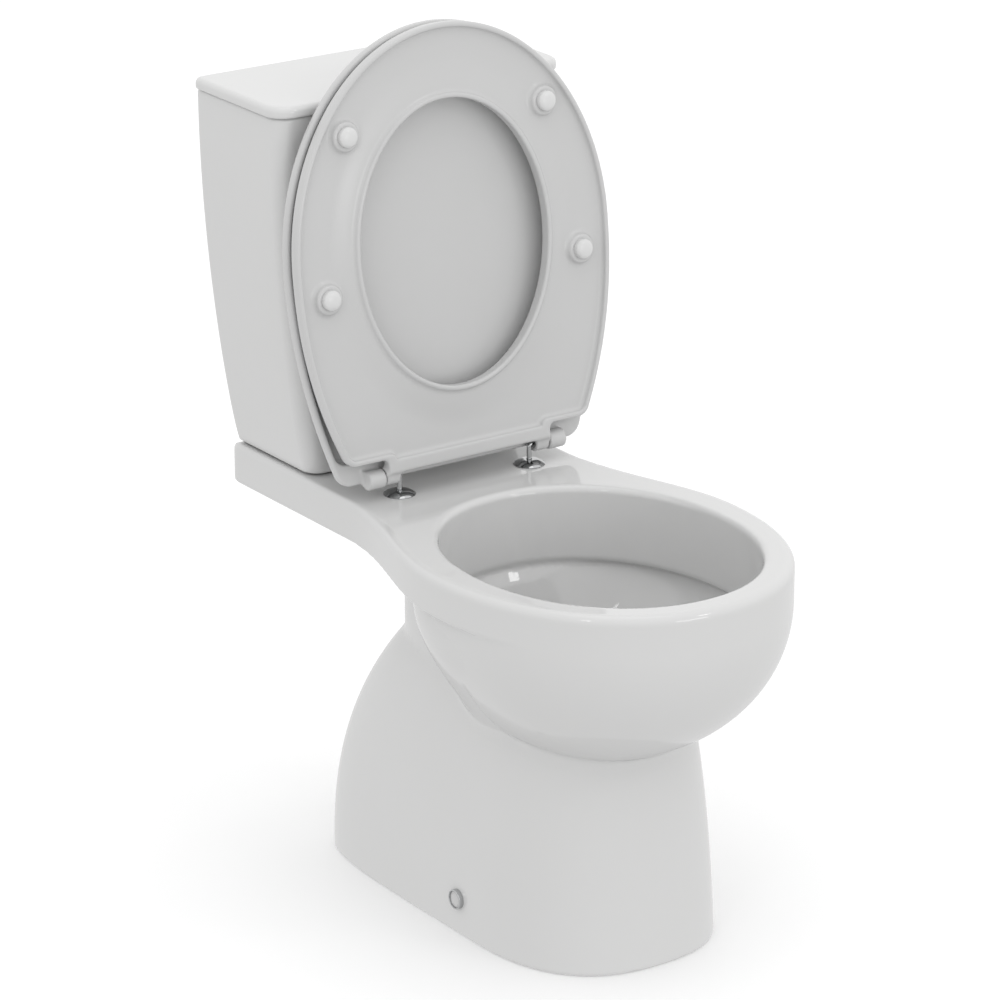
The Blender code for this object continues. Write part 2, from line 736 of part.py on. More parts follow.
def make_flush_valve():
    y = from_wall(OUTLET_DEPTH)
    floor = CISTERN_BASE + CISTERN_FLOOR
    ring("flush_base_washer", 0.0370, 0.0296, floor + GAP, floor + 0.0030, 0, y, RUBBER, 24)
    base = floor + 0.0033
    body = cylinder("flush_valve_body", 0.0400, base, base + 0.0045, 0, y, FITTING, 24)
    join(body, cylinder("flush_tail", 0.0290, 0.3880, base + 0.002, 0, y))
    cut(body, cylinder("flush_way", 0.0250, 0.38, 0.45, 0, y))
    crown = cylinder("flush_crown", 0.0400, 0.640, 0.652, 0, y)
    cut(crown, cylinder("flush_guide", 0.0195, 0.63, 0.66, 0, y))
    for quarter in range(4):
        turned = Matrix.Rotation(math.pi / 4 + math.pi / 2 * quarter, 4, "Z")
        post = box("flush_post", (0.0345, -0.005, base + 0.002), (0.0395, 0.005, 0.645))
        post.data.transform(Matrix.Translation((0, y, 0)) @ turned)
        join(body, post)
    smooth(join(body, crown))
    seat = base + 0.0045
    ring("flush_seal", 0.0320, 0.0172, seat + GAP, seat + 0.0040, 0, y, RUBBER, 24)
    lift = cylinder("flush_lift_tube", 0.0320, seat + 0.0043, seat + 0.0083, 0, y, BLUE, 24)
    column = cylinder("flush_column", 0.0165, seat + 0.0010, 0.700, 0, y)
    bore = cylinder("flush_overflow", 0.0140, 0.40, 0.72, 0, y)
    smooth(cut(join(lift, column), bore))
    ring("flush_valve_nut", 0.0355, 0.0296, 0.3895, CISTERN_BASE - GAP, 0, y, FITTING, 12)
    ring("coupling_gasket", 0.0420, 0.0360, 0.3861, CISTERN_BASE - GAP, 0, y, RUBBER, 24)


# ---------------------------------------------------------------- inlet valve


def make_fill_valve():
    x, y = INLET_X, from_wall(INLET_DEPTH)
    floor = CISTERN_BASE + CISTERN_FLOOR
    ring("fill_valve_washer", 0.0150, 0.0108, floor + GAP, floor + 0.0030, x, y, RUBBER, 24)
    base = floor + 0.0033
    body = cylinder("fill_valve_body", 0.0150, base, base + 0.006, x, y, FITTING, 24)
    shank = cylinder("fill_shank", 0.0105, 0.345, base + 0.003, x, y)
    column = cylinder("fill_column", 0.0095, base + 0.003, 0.655, x, y)
    join(body, shank, column, cylinder("fill_head", 0.0190, 0.650, 0.676, x, y))
    for start, end in ((-0.0070, -0.0035), (0.0035, 0.0070)):
        join(body, box("fill_ear", (x + 0.010, y + start, 0.672), (x + 0.018, y + end, 0.694)))
    way = cylinder("fill_way", 0.0060, 0.33, 0.64, x, y, None, 16)
    spout = box("fill_spout", (x - 0.004, y - 0.020, 0.628), (x + 0.004, y, 0.636))
    smooth(cut(body, way, spout))
    ring("fill_valve_nut", 0.0165, 0.0108, 0.3935, CISTERN_BASE - GAP, x, y, FITTING, 6)


def make_float():
    """The float cup round the inlet valve, and the lever that its rod lifts."""
    x, y = INLET_X, from_wall(INLET_DEPTH)
    cup_low, cup_high, lever_low = 0.530, 0.590, 0.6865
    cup = cylinder("fill_valve_float", 0.0280, cup_low, cup_high, x, y, BLUE, 28)
    rod_top = lever_low - 0.0030
    rod = cylinder("float_rod", 0.0020, cup_high - 0.002, rod_top, x - 0.0240, y, None, 10)
    cut(cup, cylinder("float_bore", 0.0110, cup_low - 0.03, cup_high + 0.01, x, y))
    smooth(join(cup, rod))
    corner = (x - 0.0280, y - 0.0030, lever_low)
    box("fill_valve_lever", corner, (x + 0.0175, y + 0.0030, lever_low + 0.0040), FITTING)


# ---------------------------------------------------------------- fixings


def make_tank_bolt(side, hand):
    x, y = side * TANK_BOLT_X, from_wall(TANK_BOLT_DEPTH)
    floor = CISTERN_BASE + CISTERN_FLOOR
    under = RIM_HEIGHT - SHELF_THICKNESS
    ring(f"tank_washer_{hand}", 0.0110, 0.0045, floor + GAP, floor + 0.0050, x, y, RUBBER, 20)
    head = cylinder(f"tank_bolt_{hand}", 0.0080, floor + 0.0053, floor + 0.0100, x, y, BRASS, 6)
    smooth(join(head, cylinder("tank_bolt_shank", 0.0038, 0.336, floor + 0.006, x, y, None, 12)))
    plate_low, plate_high = under - 0.0040, under - GAP
    ring(f"tank_bolt_plate_{hand}", 0.0120, 0.0045, plate_low, plate_high, x, y, RUBBER, 20)
    nut_low, nut_high = 0.3440, plate_low - GAP
    nut = cylinder(f"tank_wing_nut_{hand}", 0.0070, nut_low, nut_high, x, y, BRASS, 16)
    corner, far_corner = (x - 0.0150, y - 0.0015, nut_low), (x + 0.0150, y + 0.0015, 0.3510)
    join(nut, box("tank_wings", corner, far_corner))
    smooth(cut(nut, cylinder("tank_nut_bore", 0.0043, 0.33, 0.37, x, y, None, 12)))


def make_side_fixing(side, hand):
    """A floor bracket inside the foot, its screw through the china, and the cap over the screw."""
    y, height = from_wall(SIDE_FIXING_DEPTH), SIDE_FIXING_HEIGHT
    wall = FOOT_HALF_WIDTH - 0.0015
    inner = wall - CHINA - 0.0030

    def across(name, radius, start, end, finish=None, sides=24):
        low, high = sorted((side * start, side * end))
        return cylinder(name, radius, low, high, y, height, finish, sides, axis="X")

    def block(name, start, end, high, finish=None):
        low_x, high_x = sorted((side * start, side * end))
        return box(name, (low_x, y - 0.0200, GAP), (high_x, y + 0.0200, high), finish)

    bracket = block(f"floor_bracket_{hand}", inner - 0.0140, inner, 0.0550, FITTING)
    join(bracket, block("bracket_foot", inner - 0.0520, inner - 0.0120, 0.0060))
    slot = cylinder("bracket_slot", 0.0040, -0.01, 0.02, side * (inner - 0.0380), y, None, 12)
    cut(bracket, across("bracket_hole", 0.0032, inner - 0.02, inner + 0.02, None, 12), slot)
    head, proud = wall + 0.0009, wall + 0.0045
    screw = across(f"side_screw_{hand}", 0.0055, head, proud, STEEL, 16)
    shank = across("side_screw_shank", 0.0026, inner - 0.0180, wall + 0.0020, None, 12)
    smooth(join(screw, shank))
    low, high = sorted((side * head, side * (wall + 0.0060)))
    ring(f"side_cap_ring_{hand}", 0.0100, 0.0065, low, high, y, height, CHROME, 28, axis="X")
    smooth(across(f"side_cap_{hand}", 0.0061, wall + 0.0048, wall + 0.0066, PLASTIC))


def build():
    make_pan()
    make_cistern()
    make_cistern_lid()
    ring_hinge = hinge_empty("seat_ring_hinge")
    cover_hinge = hinge_empty("seat_cover_hinge")
    make_seat_ring(ring_hinge)
    make_seat_buffers(ring_hinge)
    make_seat_cover(cover_hinge)
    make_cover_buffers(cover_hinge)
    make_hinge_fittings()
    make_push_button()
    make_flush_valve()
    make_fill_valve()
    make_float()
    for side, hand in SIDES:
        make_tank_bolt(side, hand)
        make_side_fixing(side, hand)


build()
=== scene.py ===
import json
import math

import bmesh
import bpy
import numpy as np
from mathutils import Matrix, Vector


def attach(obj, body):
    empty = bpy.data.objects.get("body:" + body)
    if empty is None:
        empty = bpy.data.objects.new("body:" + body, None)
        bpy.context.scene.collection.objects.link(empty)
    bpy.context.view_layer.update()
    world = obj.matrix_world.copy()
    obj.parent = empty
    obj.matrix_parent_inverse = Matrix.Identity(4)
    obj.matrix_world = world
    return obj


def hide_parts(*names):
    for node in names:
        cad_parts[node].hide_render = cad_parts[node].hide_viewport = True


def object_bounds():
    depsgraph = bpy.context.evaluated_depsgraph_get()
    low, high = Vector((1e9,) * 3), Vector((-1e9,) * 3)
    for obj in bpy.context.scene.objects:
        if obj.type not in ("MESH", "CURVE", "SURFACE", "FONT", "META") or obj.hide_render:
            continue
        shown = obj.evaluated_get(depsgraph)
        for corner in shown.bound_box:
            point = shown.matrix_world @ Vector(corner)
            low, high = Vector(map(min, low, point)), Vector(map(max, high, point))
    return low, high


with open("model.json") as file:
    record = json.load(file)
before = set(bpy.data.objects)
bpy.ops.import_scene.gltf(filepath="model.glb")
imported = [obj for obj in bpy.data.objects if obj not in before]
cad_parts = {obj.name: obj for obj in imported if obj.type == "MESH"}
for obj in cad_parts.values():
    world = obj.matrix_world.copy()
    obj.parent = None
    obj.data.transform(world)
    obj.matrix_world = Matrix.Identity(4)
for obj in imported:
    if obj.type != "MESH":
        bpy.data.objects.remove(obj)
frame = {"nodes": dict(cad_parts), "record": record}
cadBox = [list(corner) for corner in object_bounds()]
scene = bpy.context.scene
wallY = cadBox[1][1]  # the wall plane; depths are measured from it towards the front


class Wire:
    # one socket, so that shader maths reads as plain expressions
    def __init__(self, tree, socket):
        self.tree, self.socket = tree, socket

    def maths(self, operation, first, second=0.0):
        node = self.tree.nodes.new("ShaderNodeMath")
        node.operation = operation
        for slot, value in zip(node.inputs, (first, second)):
            if isinstance(value, Wire):
                self.tree.links.new(value.socket, slot)
            else:
                slot.default_value = value
        return Wire(self.tree, node.outputs[0])

    def __add__(self, other):
        return self.maths("ADD", self, other)

    __radd__ = __add__

    def __sub__(self, other):
        return self.maths("SUBTRACT", self, other)

    def __rsub__(self, other):
        return self.maths("SUBTRACT", other, self)

    def __mul__(self, other):
        return self.maths("MULTIPLY", self, other)

    __rmul__ = __mul__

    def __pow__(self, other):
        return self.maths("POWER", self, other)


class Finish:
    # a material being built: its Principled shader, and one method for every other node
    def __init__(self, name):
        self.material = bpy.data.materials.new(name)
        self.material.use_nodes = True
        self.tree = self.material.node_tree
        self.shader = self.tree.nodes["Principled BSDF"]
        self.place = self.node("ShaderNodeTexCoord", {}, {}, "Object")

    def node(self, kind, settings, values, output=0):
        made = self.tree.nodes.new(kind)
        for key, value in settings.items():
            if key == "stops":
                for stop, (at, colour) in zip(made.color_ramp.elements, value):
                    stop.position, stop.color = at, (*colour, 1)
            else:
                setattr(made, key, value)
        for key, value in values.items():
            if isinstance(value, Wire):
                self.tree.links.new(value.socket, made.inputs[key])
            else:
                made.inputs[key].default_value = value
        return Wire(self.tree, made.outputs[output])

    def noise(self, scale, detail=2.0, stretch=(1, 1, 1)):
        place = self.node("ShaderNodeMapping", {}, {"Vector": self.place, "Scale": stretch})
        values = {"Vector": place, "Scale": scale, "Detail": detail}
        return self.node("ShaderNodeTexNoise", {}, values, "Fac")

    def between(self, factor, first, second):
        # a colour between two, by a factor from 0 to 1
        settings = {"data_type": "RGBA", "clamp_factor": True}
        values = {0: factor, 6: (*first, 1), 7: (*second, 1)}
        return self.node("ShaderNodeMix", settings, values, 2)

    def bump(self, height, strength, distance):
        values = {"Height": height, "Strength": strength, "Distance": distance}
        return self.node("ShaderNodeBump", {}, values)

    def set(self, **values):
        for key, value in values.items():
            slot = self.shader.inputs[key.replace("_", " ")]
            if isinstance(value, Wire):
                self.tree.links.new(value.socket, slot)
            else:
                slot.default_value = value
        return self.material


chinaLook = {
    "white": (0.625, 0.626, 0.625),
    "warmWhite": (0.607, 0.606, 0.602),
    "gloss": 0.015,
    "glossSpread": 0.04,
    "glazeWave": 0.00012,  # height of the slow waves a fired glaze keeps, in metres
}


def glazedChina():
    look = Finish("glazedChina")
    slow, fine = look.noise(9.0, 2.0), look.noise(70.0, 3.0)
    colour = look.between(slow * 0.7 + fine * 0.3, chinaLook["white"], chinaLook["warmWhite"])
    waves = look.noise(22.0, 1.0) + fine * 0.05
    rough = chinaLook["gloss"] + chinaLook["glossSpread"] * slow * fine
    normal = look.bump(waves, 0.5, chinaLook["glazeWave"])
    return look.set(Base_Color=colour, Roughness=rough, Normal=normal, IOR=1.6)


seatLook = {
    "white": (0.550, 0.551, 0.551),
    "offWhite": (0.535, 0.535, 0.533),
    "gloss": 0.16,
}


def seatPlastic(name="seatPlastic", shade=1.0):
    look = Finish(name)
    slow, fine = look.noise(14.0, 2.0), look.noise(420.0, 3.0)
    white = [shade * part for part in seatLook["white"]]
    offWhite = [shade * part for part in seatLook["offWhite"]]
    colour = look.between(slow, white, offWhite)
    rough = seatLook["gloss"] + 0.06 * slow + 0.03 * fine
    normal = look.bump(fine * 0.25 + look.noise(30.0, 1.0), 0.35, 0.00008)
    return look.set(Base_Color=colour, Roughness=rough, Normal=normal, IOR=1.5)


def fittingPlastic(name, first, second):
    look = Finish(name)
    slow, fine = look.noise(45.0, 2.0), look.noise(1500.0, 3.0)
    colour = look.between(slow, first, second)
    normal = look.bump(fine, 0.3, 0.00015)
    return look.set(Base_Color=colour, Roughness=0.36 + 0.12 * fine, Normal=normal)


def metalLook(name, first, second, rough, stretch=(1, 1, 1), lines=600.0):
    look = Finish(name)
    slow, fine = look.noise(60.0, 3.0), look.noise(lines, 2.0, stretch)
    colour = look.between(slow, first, second)
    gloss = rough + rough * slow * fine
    normal = look.bump(fine, 0.15, 0.00004)
    return look.set(Base_Color=colour, Metallic=1.0, Roughness=gloss, Normal=normal)


def rubberLook():
    look = Finish("blackRubber")
    grain = look.noise(1100.0, 4.0)
    colour = look.between(grain, (0.018, 0.018, 0.019), (0.035, 0.034, 0.033))
    normal = look.bump(grain, 0.5, 0.0002)
    return look.set(Base_Color=colour, Roughness=0.55 + 0.2 * grain, Normal=normal)


china = glazedChina()
seatWhite = seatPlastic()
bufferWhite = seatPlastic("bufferPlastic", 1.20)
fittingWhite = fittingPlastic("fittingPlastic", (0.66, 0.67, 0.68), (0.60, 0.61, 0.63))
fittingBlue = fittingPlastic("blueFittingPlastic", (0.08, 0.20, 0.45), (0.06, 0.16, 0.38))
# the chrome's base colour is set darker than bright chrome: a painted reflection of dark surroundings,
# which the white studio does not have
chrome = metalLook("polishedChrome", (0.50, 0.505, 0.51), (0.42, 0.425, 0.43), 0.04)
brass = metalLook("turnedBrass", (0.68, 0.47, 0.18), (0.55, 0.36, 0.12), 0.22, (1, 1, 14))
zinc = metalLook("zincPlatedSteel", (0.55, 0.56, 0.57), (0.43, 0.44, 0.46), 0.25, (12, 1, 1))
rubber = rubberLook()
print("finishes made")


# a soft shape is a pair at many points: the distance to its surface and the outward direction
def measured(shape, points):
    # turns a plain formula, below 0 inside, into a distance in metres and a direction
    step = 0.0001
    here = shape(*points.T)
    slope = np.empty_like(points)
    for axis in range(3):
        moved = points.copy()
        moved[:, axis] += step
        slope[:, axis] = (shape(*moved.T) - here) / step
    steepness = np.maximum(np.linalg.norm(slope, axis=1), 1e-6)
    return here / steepness, slope / steepness[:, None]


def turnedOut(part):
    return -part[0], -part[1]


def joined(first, second, radius):
    # a union with a round fillet, which dies out where both surfaces run the same way
    across = 1 - np.sum(first[1] * second[1], axis=1)
    fillet = radius * np.clip(across, 0, 1)
    u, v = np.maximum(fillet - first[0], 0), np.maximum(fillet - second[0], 0)
    near = np.minimum(first[0], second[0])
    length = np.hypot(u, v)
    mixed = (u[:, None] * first[1] + v[:, None] * second[1]) / np.maximum(length, 1e-9)[:, None]
    nearest = np.where((first[0] < second[0])[:, None], first[1], second[1])
    both = (u > 0) & (v > 0)
    return (
        np.where(both, np.maximum(fillet, near) - length, near),
        np.where(both[:, None], mixed, nearest),
    )


def common(first, second, radius):
    return turnedOut(joined(turnedOut(first), turnedOut(second), radius))


def without(first, second, radius):
    return common(first, turnedOut(second), radius)


def ovalShape(half, front, rear, middle, power, rearPower=None):
    # a plan oval that may change with height; depth runs from the wall
    def shape(x, y, z):
        along = wallY - y - middle
        reach = np.where(along > 0, front(z), rear(z))
        bend = power if rearPower is None else np.where(along > 0, power, rearPower(z))
        wide = half(z)
        size = (np.abs(x / wide) ** bend + np.abs(along / reach) ** bend) ** (1 / bend)
        return (size - 1) * wide

    return shape


def always(value):
    return lambda z: value


def rodShape(radius, low, high, x0, depth):
    def shape(x, y, z):
        side = np.hypot(x - x0, y - (wallY - depth)) - radius
        return np.maximum(side, np.maximum(low - z, z - high))

    return shape


def ease(value):
    value = np.clip(value, 0, 1)
    return value * value * (3 - 2 * value)


def skinned(name, body, xs, ys, zs, coarse=3, passes=3):
    # a mesh on the surface of a soft shape: one point in each grid cell that the surface crosses
    counts = [len(xs), len(ys), len(zs)]
    grid = np.stack(np.meshgrid(xs, ys, zs, indexing="ij"), -1)
    rough = grid[::coarse, ::coarse, ::coarse]
    value = body(rough.reshape(-1, 3))[0].reshape(rough.shape[:3])
    for axis in range(3):
        value = value.repeat(coarse, axis)
    value = value[: counts[0], : counts[1], : counts[2]].copy()
    widest = max(np.diff(axis).max() for axis in (xs, ys, zs))
    near = np.abs(value) < 1.9 * coarse * widest
    value[near] = body(grid[near])[0]
    inside = value < 0
    corner = [slice(None, -1), slice(1, None)]
    held = sum(
        inside[a, b, c].astype(int) for a in corner for b in corner for c in corner
    )
    crossed = (held > 0) & (held < 8)
    number = np.full(crossed.shape, -1)
    number[crossed] = np.arange(crossed.sum())
    cell = np.argwhere(crossed)
    total, hits = np.zeros((len(cell), 3)), np.zeros(len(cell))
    for axis in range(3):
        others = [a for a in range(3) if a != axis]
        for a in (0, 1):
            for b in (0, 1):
                start = cell.copy()
                start[:, others[0]] += a
                start[:, others[1]] += b
                end = start.copy()
                end[:, axis] += 1
                first, second = value[tuple(start.T)], value[tuple(end.T)]
                cut = (first < 0) != (second < 0)
                share = np.where(cut, first / np.where(cut, first - second, 1), 0)[:, None]
                spot = grid[tuple(start.T)] * (1 - share) + grid[tuple(end.T)] * share
                total += spot * cut[:, None]
                hits += cut
    points = total / hits[:, None]
    quads = []
    for axis in range(3):
        before, after = [slice(None)] * 3, [slice(None)] * 3
        before[axis], after[axis] = slice(None, -1), slice(1, None)
        change = inside[tuple(before)].astype(int) - inside[tuple(after)].astype(int)
        edge = np.argwhere(change)
        others = [a for a in range(3) if a != axis]
        ring = []
        for a, b in ((0, 0), (1, 0), (1, 1), (0, 1)):
            spot = edge.copy()
            spot[:, others[0]] -= a
            spot[:, others[1]] -= b
            ring.append(number[tuple(spot.T)])
        ring = np.stack(ring, 1)
        flip = change[tuple(edge.T)] * (1 if axis != 1 else -1) > 0
        ring[~flip] = ring[~flip][:, ::-1]
        quads.append(ring[:, ::-1])
    quads = np.concatenate(quads)
    ends = np.concatenate([quads[:, [k, (k + 1) % 4]] for k in range(4)])
    for turn in range(passes):
        if turn:  # evens out the points along the surface
            spread, count = np.zeros_like(points), np.zeros(len(points))
            np.add.at(spread, ends[:, 0], points[ends[:, 1]])
            np.add.at(count, ends[:, 0], 1)
            points = 0.5 * points + 0.5 * spread / count[:, None]
        for _ in range(3):
            gap, way = body(points)
            points = points - np.clip(gap, -widest, widest)[:, None] * way
    mesh = bpy.data.meshes.new(name)
    mesh.vertices.add(len(points))
    mesh.vertices.foreach_set("co", points.astype(np.float32).ravel())
    mesh.loops.add(quads.size)
    mesh.loops.foreach_set("vertex_index", quads.astype(np.int32).ravel())
    mesh.polygons.add(len(quads))
    mesh.polygons.foreach_set("loop_start", np.arange(0, quads.size, 4, dtype=np.int32))
    mesh.update(calc_edges=True)
    mesh.validate()
    mesh.shade_smooth()
    return mesh


def placed(name, mesh, finish, body, slot, *nodes):
    # a finished piece: at the origin, riding on its CAD body in place of its CAD nodes
    piece = bpy.data.objects.new(name, mesh)
    scene.collection.objects.link(piece)
    mesh.materials.clear()
    mesh.materials.append(finish)
    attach(piece, body)
    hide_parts(*nodes)
    return piece


def between(low, high, step):
    return np.arange(low, high + step, step)


pan = {
    "rim": 0.400,
    "slab": 0.042,
    "length": 0.6479,
    "shelfHalf": 0.130,
    "shelfEnd": 0.210,
    "rimHalf": 0.178,
    "rimWidest": 0.428,
    "rimPower": 2.12,
    "edge": 0.0085,  # radius of the rim's outer top edge, and of the shelf's
    "shelfEdge": 0.0035,
    "mouthEdge": 0.0060,
    "mouthHalf": 0.1435,
    "mouthReach": 0.169,
    "mouthMiddle": 0.450,
    "lip": 0.316,  # how far down the mouth is cut
    "roof": 0.321,  # top of the hollow below the lip
    "bellyTop": 0.376,
    "bellyFront": 0.3585,  # where the belly starts to draw in, in front
    "bellyLow": 0.190,
    "undercut": 0.0050,  # how far the hollow goes out past the mouth, and how it narrows
    "undercutSlope": 0.6,
    "undercutLow": 0.290,
    "bellyRear": 0.170,
    "bellyInset": 0.0085,  # how far the belly stands in from the rim's side
    "ridgeHigh": 0.410,  # depth of the belly's rear edge under the rim, and further down
    "ridgeLow": 0.438,
    "neckHeight": 0.252,
    "china": 0.011,
    "creaseFillet": 0.0030,
    "shellFillet": 0.0040,
    "footFillet": 0.016,
}

# plan sizes of the bowl's inside by height: height, half width, front, rear, middle
bowlRows = np.array(
    [
        (0.062, 0.036, 0.036, 0.036, 0.378),
        (0.130, 0.050, 0.056, 0.050, 0.380),
        (0.170, 0.062, 0.082, 0.062, 0.388),
        (0.210, 0.086, 0.118, 0.090, 0.403),
        (0.250, 0.114, 0.148, 0.112, 0.418),
        (0.290, 0.142, 0.178, 0.136, 0.426),
        (0.330, 0.158, 0.197, 0.150, 0.428),
    ]
)
bowlCurves = [np.polyfit(bowlRows[:, 0] - 0.2, bowlRows[:, k], 4) for k in range(1, 5)]
trapLine = [(0.360, 0.088), (0.333, 0.090), (0.311, 0.104), (0.298, 0.130), (0.291, 0.160)]
trapLine += [(0.278, 0.186), (0.254, 0.200), (0.229, 0.190), (0.214, 0.166), (0.207, 0.130)]
trapLine += [(0.204, 0.080), (0.204, -0.010)]


def plateauShape(x, y, z):
    # plan outline of shelf and rim
    depth = wallY - y
    flare = ease((depth - pan["shelfEnd"]) / (pan["rimWidest"] - pan["shelfEnd"]))
    side = pan["shelfHalf"] + (pan["rimHalf"] - pan["shelfHalf"]) * flare
    reach = pan["length"] - pan["rimWidest"]
    along = np.maximum(depth - pan["rimWidest"], 0) / reach
    power = pan["rimPower"]
    across = np.abs(x) / pan["rimHalf"]
    oval = (across**power + along**power) ** (1 / power)
    return np.where(along > 0, (oval - 1) * pan["rimHalf"], np.abs(x) - side)


def bellyShape(x, y, z):
    # widest under the rim; the step below the rim fades out towards the front
    along = wallY - y - pan["rimWidest"]
    reach = np.where(along > 0, pan["length"] - pan["rimWidest"], pan["bellyRear"])
    fade = ease((along + 0.02) / 0.15)
    half = pan["rimHalf"] - pan["bellyInset"] * (1 - fade)
    top = pan["bellyTop"] - (pan["bellyTop"] - pan["bellyFront"]) * fade
    power = pan["rimPower"]
    plan = (np.abs(x / half) ** power + np.abs(along / reach) ** power) ** (2 / power)
    drop = np.maximum(top - z, 0) / (top - pan["bellyLow"])
    return np.sqrt(plan + drop**2) - 1


def ridgeShape(x, y, z):
    # the belly ends in an upright edge, behind which the bowl's own shell shows
    low = ease((0.358 - z) / 0.070)
    return pan["ridgeHigh"] + (pan["ridgeLow"] - pan["ridgeHigh"]) * low - (wallY - y)


def footShape(inset):
    def hump(z):
        return np.clip(z / pan["neckHeight"], 0, 1) ** 2.3

    def half(z):
        return 0.1195 + (0.095 - 0.1195) * hump(z) - inset

    def front(z):
        return 0.555 - 0.408 - 0.027 * np.clip(z / pan["neckHeight"], 0, 1) - inset

    def rear(z):
        return 0.408 - 0.108 - 0.072 * hump(z) - inset

    def squareness(z):
        return 5.5 - 2.7 * hump(z)

    return ovalShape(half, front, rear, 0.408, 2.5, squareness)


def bowlShape(grow):
    def size(k):
        return lambda z: np.polyval(bowlCurves[k], np.clip(z, 0.05, 0.34) - 0.2) + grow

    def shape(x, y, z):
        middle = np.polyval(bowlCurves[3], np.clip(z, 0.05, 0.34) - 0.2)
        along = wallY - y - middle
        reach = np.where(along > 0, size(1)(z), size(2)(z))
        wide = size(0)(z)
        return (np.hypot(x / wide, along / reach) - 1) * wide

    return shape


def trapShape(radius):
    def shape(x, y, z):
        best = np.full(len(x), 9.0)
        for (d0, z0), (d1, z1) in zip(trapLine, trapLine[1:]):
            ty, tz = d0 - d1, z1 - z0
            py, pz = y - (wallY - d0), z - z0
            share = np.clip((py * ty + pz * tz) / (ty * ty + tz * tz), 0, 1)
            best = np.minimum(best, np.sqrt(x**2 + (py - share * ty) ** 2 + (pz - share * tz) ** 2))
        return best - radius

    return shape


def flat(points, height, sign):
    # everything below a height (sign 1) or above it (sign -1)
    way = np.zeros_like(points)
    way[:, 2] = sign
    return sign * (points[:, 2] - height), way


def behindWall(points):
    way = np.zeros_like(points)
    way[:, 1] = 1
    return points[:, 1] - wallY, way


def panBody(points):
    def part(shape):
        return measured(shape, points)

    rim = pan["rim"]
    outline = common(part(plateauShape), behindWall(points), 0.003)
    rounder = ease((wallY - points[:, 1] - 0.20) / 0.13)
    edge = pan["shelfEdge"] + (pan["edge"] - pan["shelfEdge"]) * rounder
    slab = common(outline, flat(points, rim, 1), edge)
    slab = common(slab, flat(points, rim - pan["slab"], -1), 0.003)
    belly = common(part(bellyShape), flat(points, rim, 1), pan["edge"])
    belly = common(belly, part(ridgeShape), 0.005)
    shell = common(part(bowlShape(pan["china"] - 0.0020)), flat(points, 0.377, 1), 0.004)
    foot = common(part(footShape(0.0)), flat(points, rim - 0.02, 1), 0.004)
    lower = joined(joined(belly, shell, pan["shellFillet"]), foot, pan["footFillet"])
    solid = joined(slab, lower, pan["creaseFillet"])
    solid = common(solid, flat(points, 0.0, -1), 0.0025)
    bowlOut = common(part(bowlShape(pan["china"])), flat(points, 0.051, -1), 0.004)
    hollow = common(part(footShape(pan["china"])), flat(points, 0.335, 1), 0.004)
    hollow = without(without(hollow, bowlOut, 0.004), part(trapShape(0.037)), 0.004)
    solid = without(solid, hollow, 0.004)
    middle, reach = pan["mouthMiddle"], pan["mouthReach"]

    def undercut(size):  # the hollow below the lip narrows down into the bowl
        def wide(z):
            narrower = pan["undercutSlope"] * np.clip(pan["roof"] - z, 0, 0.1)
            return size + pan["undercut"] - narrower

        return wide

    under = ovalShape(undercut(pan["mouthHalf"]), undercut(reach), undercut(reach), middle, 2.08)
    under = common(part(under), flat(points, pan["undercutLow"], -1), 0.004)
    bowl = joined(part(bowlShape(0.0)), under, 0.010)
    bowl = common(bowl, flat(points, pan["roof"], 1), 0.004)
    bowl = common(bowl, flat(points, 0.062, -1), 0.008)
    solid = without(solid, bowl, 0.004)
    mouth = part(
        ovalShape(always(pan["mouthHalf"]), always(reach), always(reach), middle, 2.08)
    )
    mouth = common(mouth, flat(points, pan["lip"], -1), 0.001)
    solid = without(solid, mouth, pan["mouthEdge"])
    solid = without(solid, part(trapShape(0.028)), 0.004)
    holes = [(0.043, 0.3855, 0, 0.075), (0.020, 0.300, 0.095, 0.045)]
    holes += [(0.007, 0.300, side * 0.073, 0.092) for side in (-1, 1)]
    holes += [(0.007, 0.366, side * 0.0775, 0.2235) for side in (-1, 1)]
    for radius, low, x, depth in holes:
        solid = without(solid, part(rodShape(radius, low, 0.42, x, depth)), 0.001)
    way = part(
        lambda x, y, z: np.maximum(
            np.maximum(np.abs(x) - 0.050, np.abs(wallY - y - 0.152) - 0.118),
            np.abs(z - 0.3785) - 0.0075,
        )
    )
    solid = without(solid, way, 0.001)
    screw = part(lambda x, y, z: np.hypot(wallY - y - 0.383, z - 0.037) - 0.0055)
    return without(solid, common(screw, flat(points, 0.06, 1), 0.0), 0.001)


panHeights = [between(-0.0045, 0.0105, 0.0025), between(0.0160, 0.298, 0.0056)]
panHeights = np.concatenate([*panHeights, between(0.3040, 0.409, 0.0029)])
panMesh = skinned(
    "pan",
    panBody,
    between(-0.188, 0.188, 0.0041),
    between(-wallY - 0.008, wallY + 0.008, 0.0041),
    panHeights,
)
placed("pan", panMesh, china, "root", "glazed_china", "pan")
print("pan:", len(panMesh.polygons), "faces")


cistern = {
    "base": 0.4018,
    "top": 0.7745,
    "halfLow": 0.124,
    "halfHigh": 0.165,
    "depthLow": 0.137,
    "depthHigh": 0.150,
    "corner": 0.017,
    "backCorner": 0.006,
    "wall": 0.009,
    "floor": 0.012,
    "foot": 0.0028,  # rounding under the tank
}
lid = {
    "thick": 0.0115,
    "over": 0.004,
    "corner": 0.022,
    "backCorner": 0.010,
    "topEdge": 0.0058,
    "lowEdge": 0.0026,
    "hole": 0.0205,
    "buttonDepth": 0.075,
}


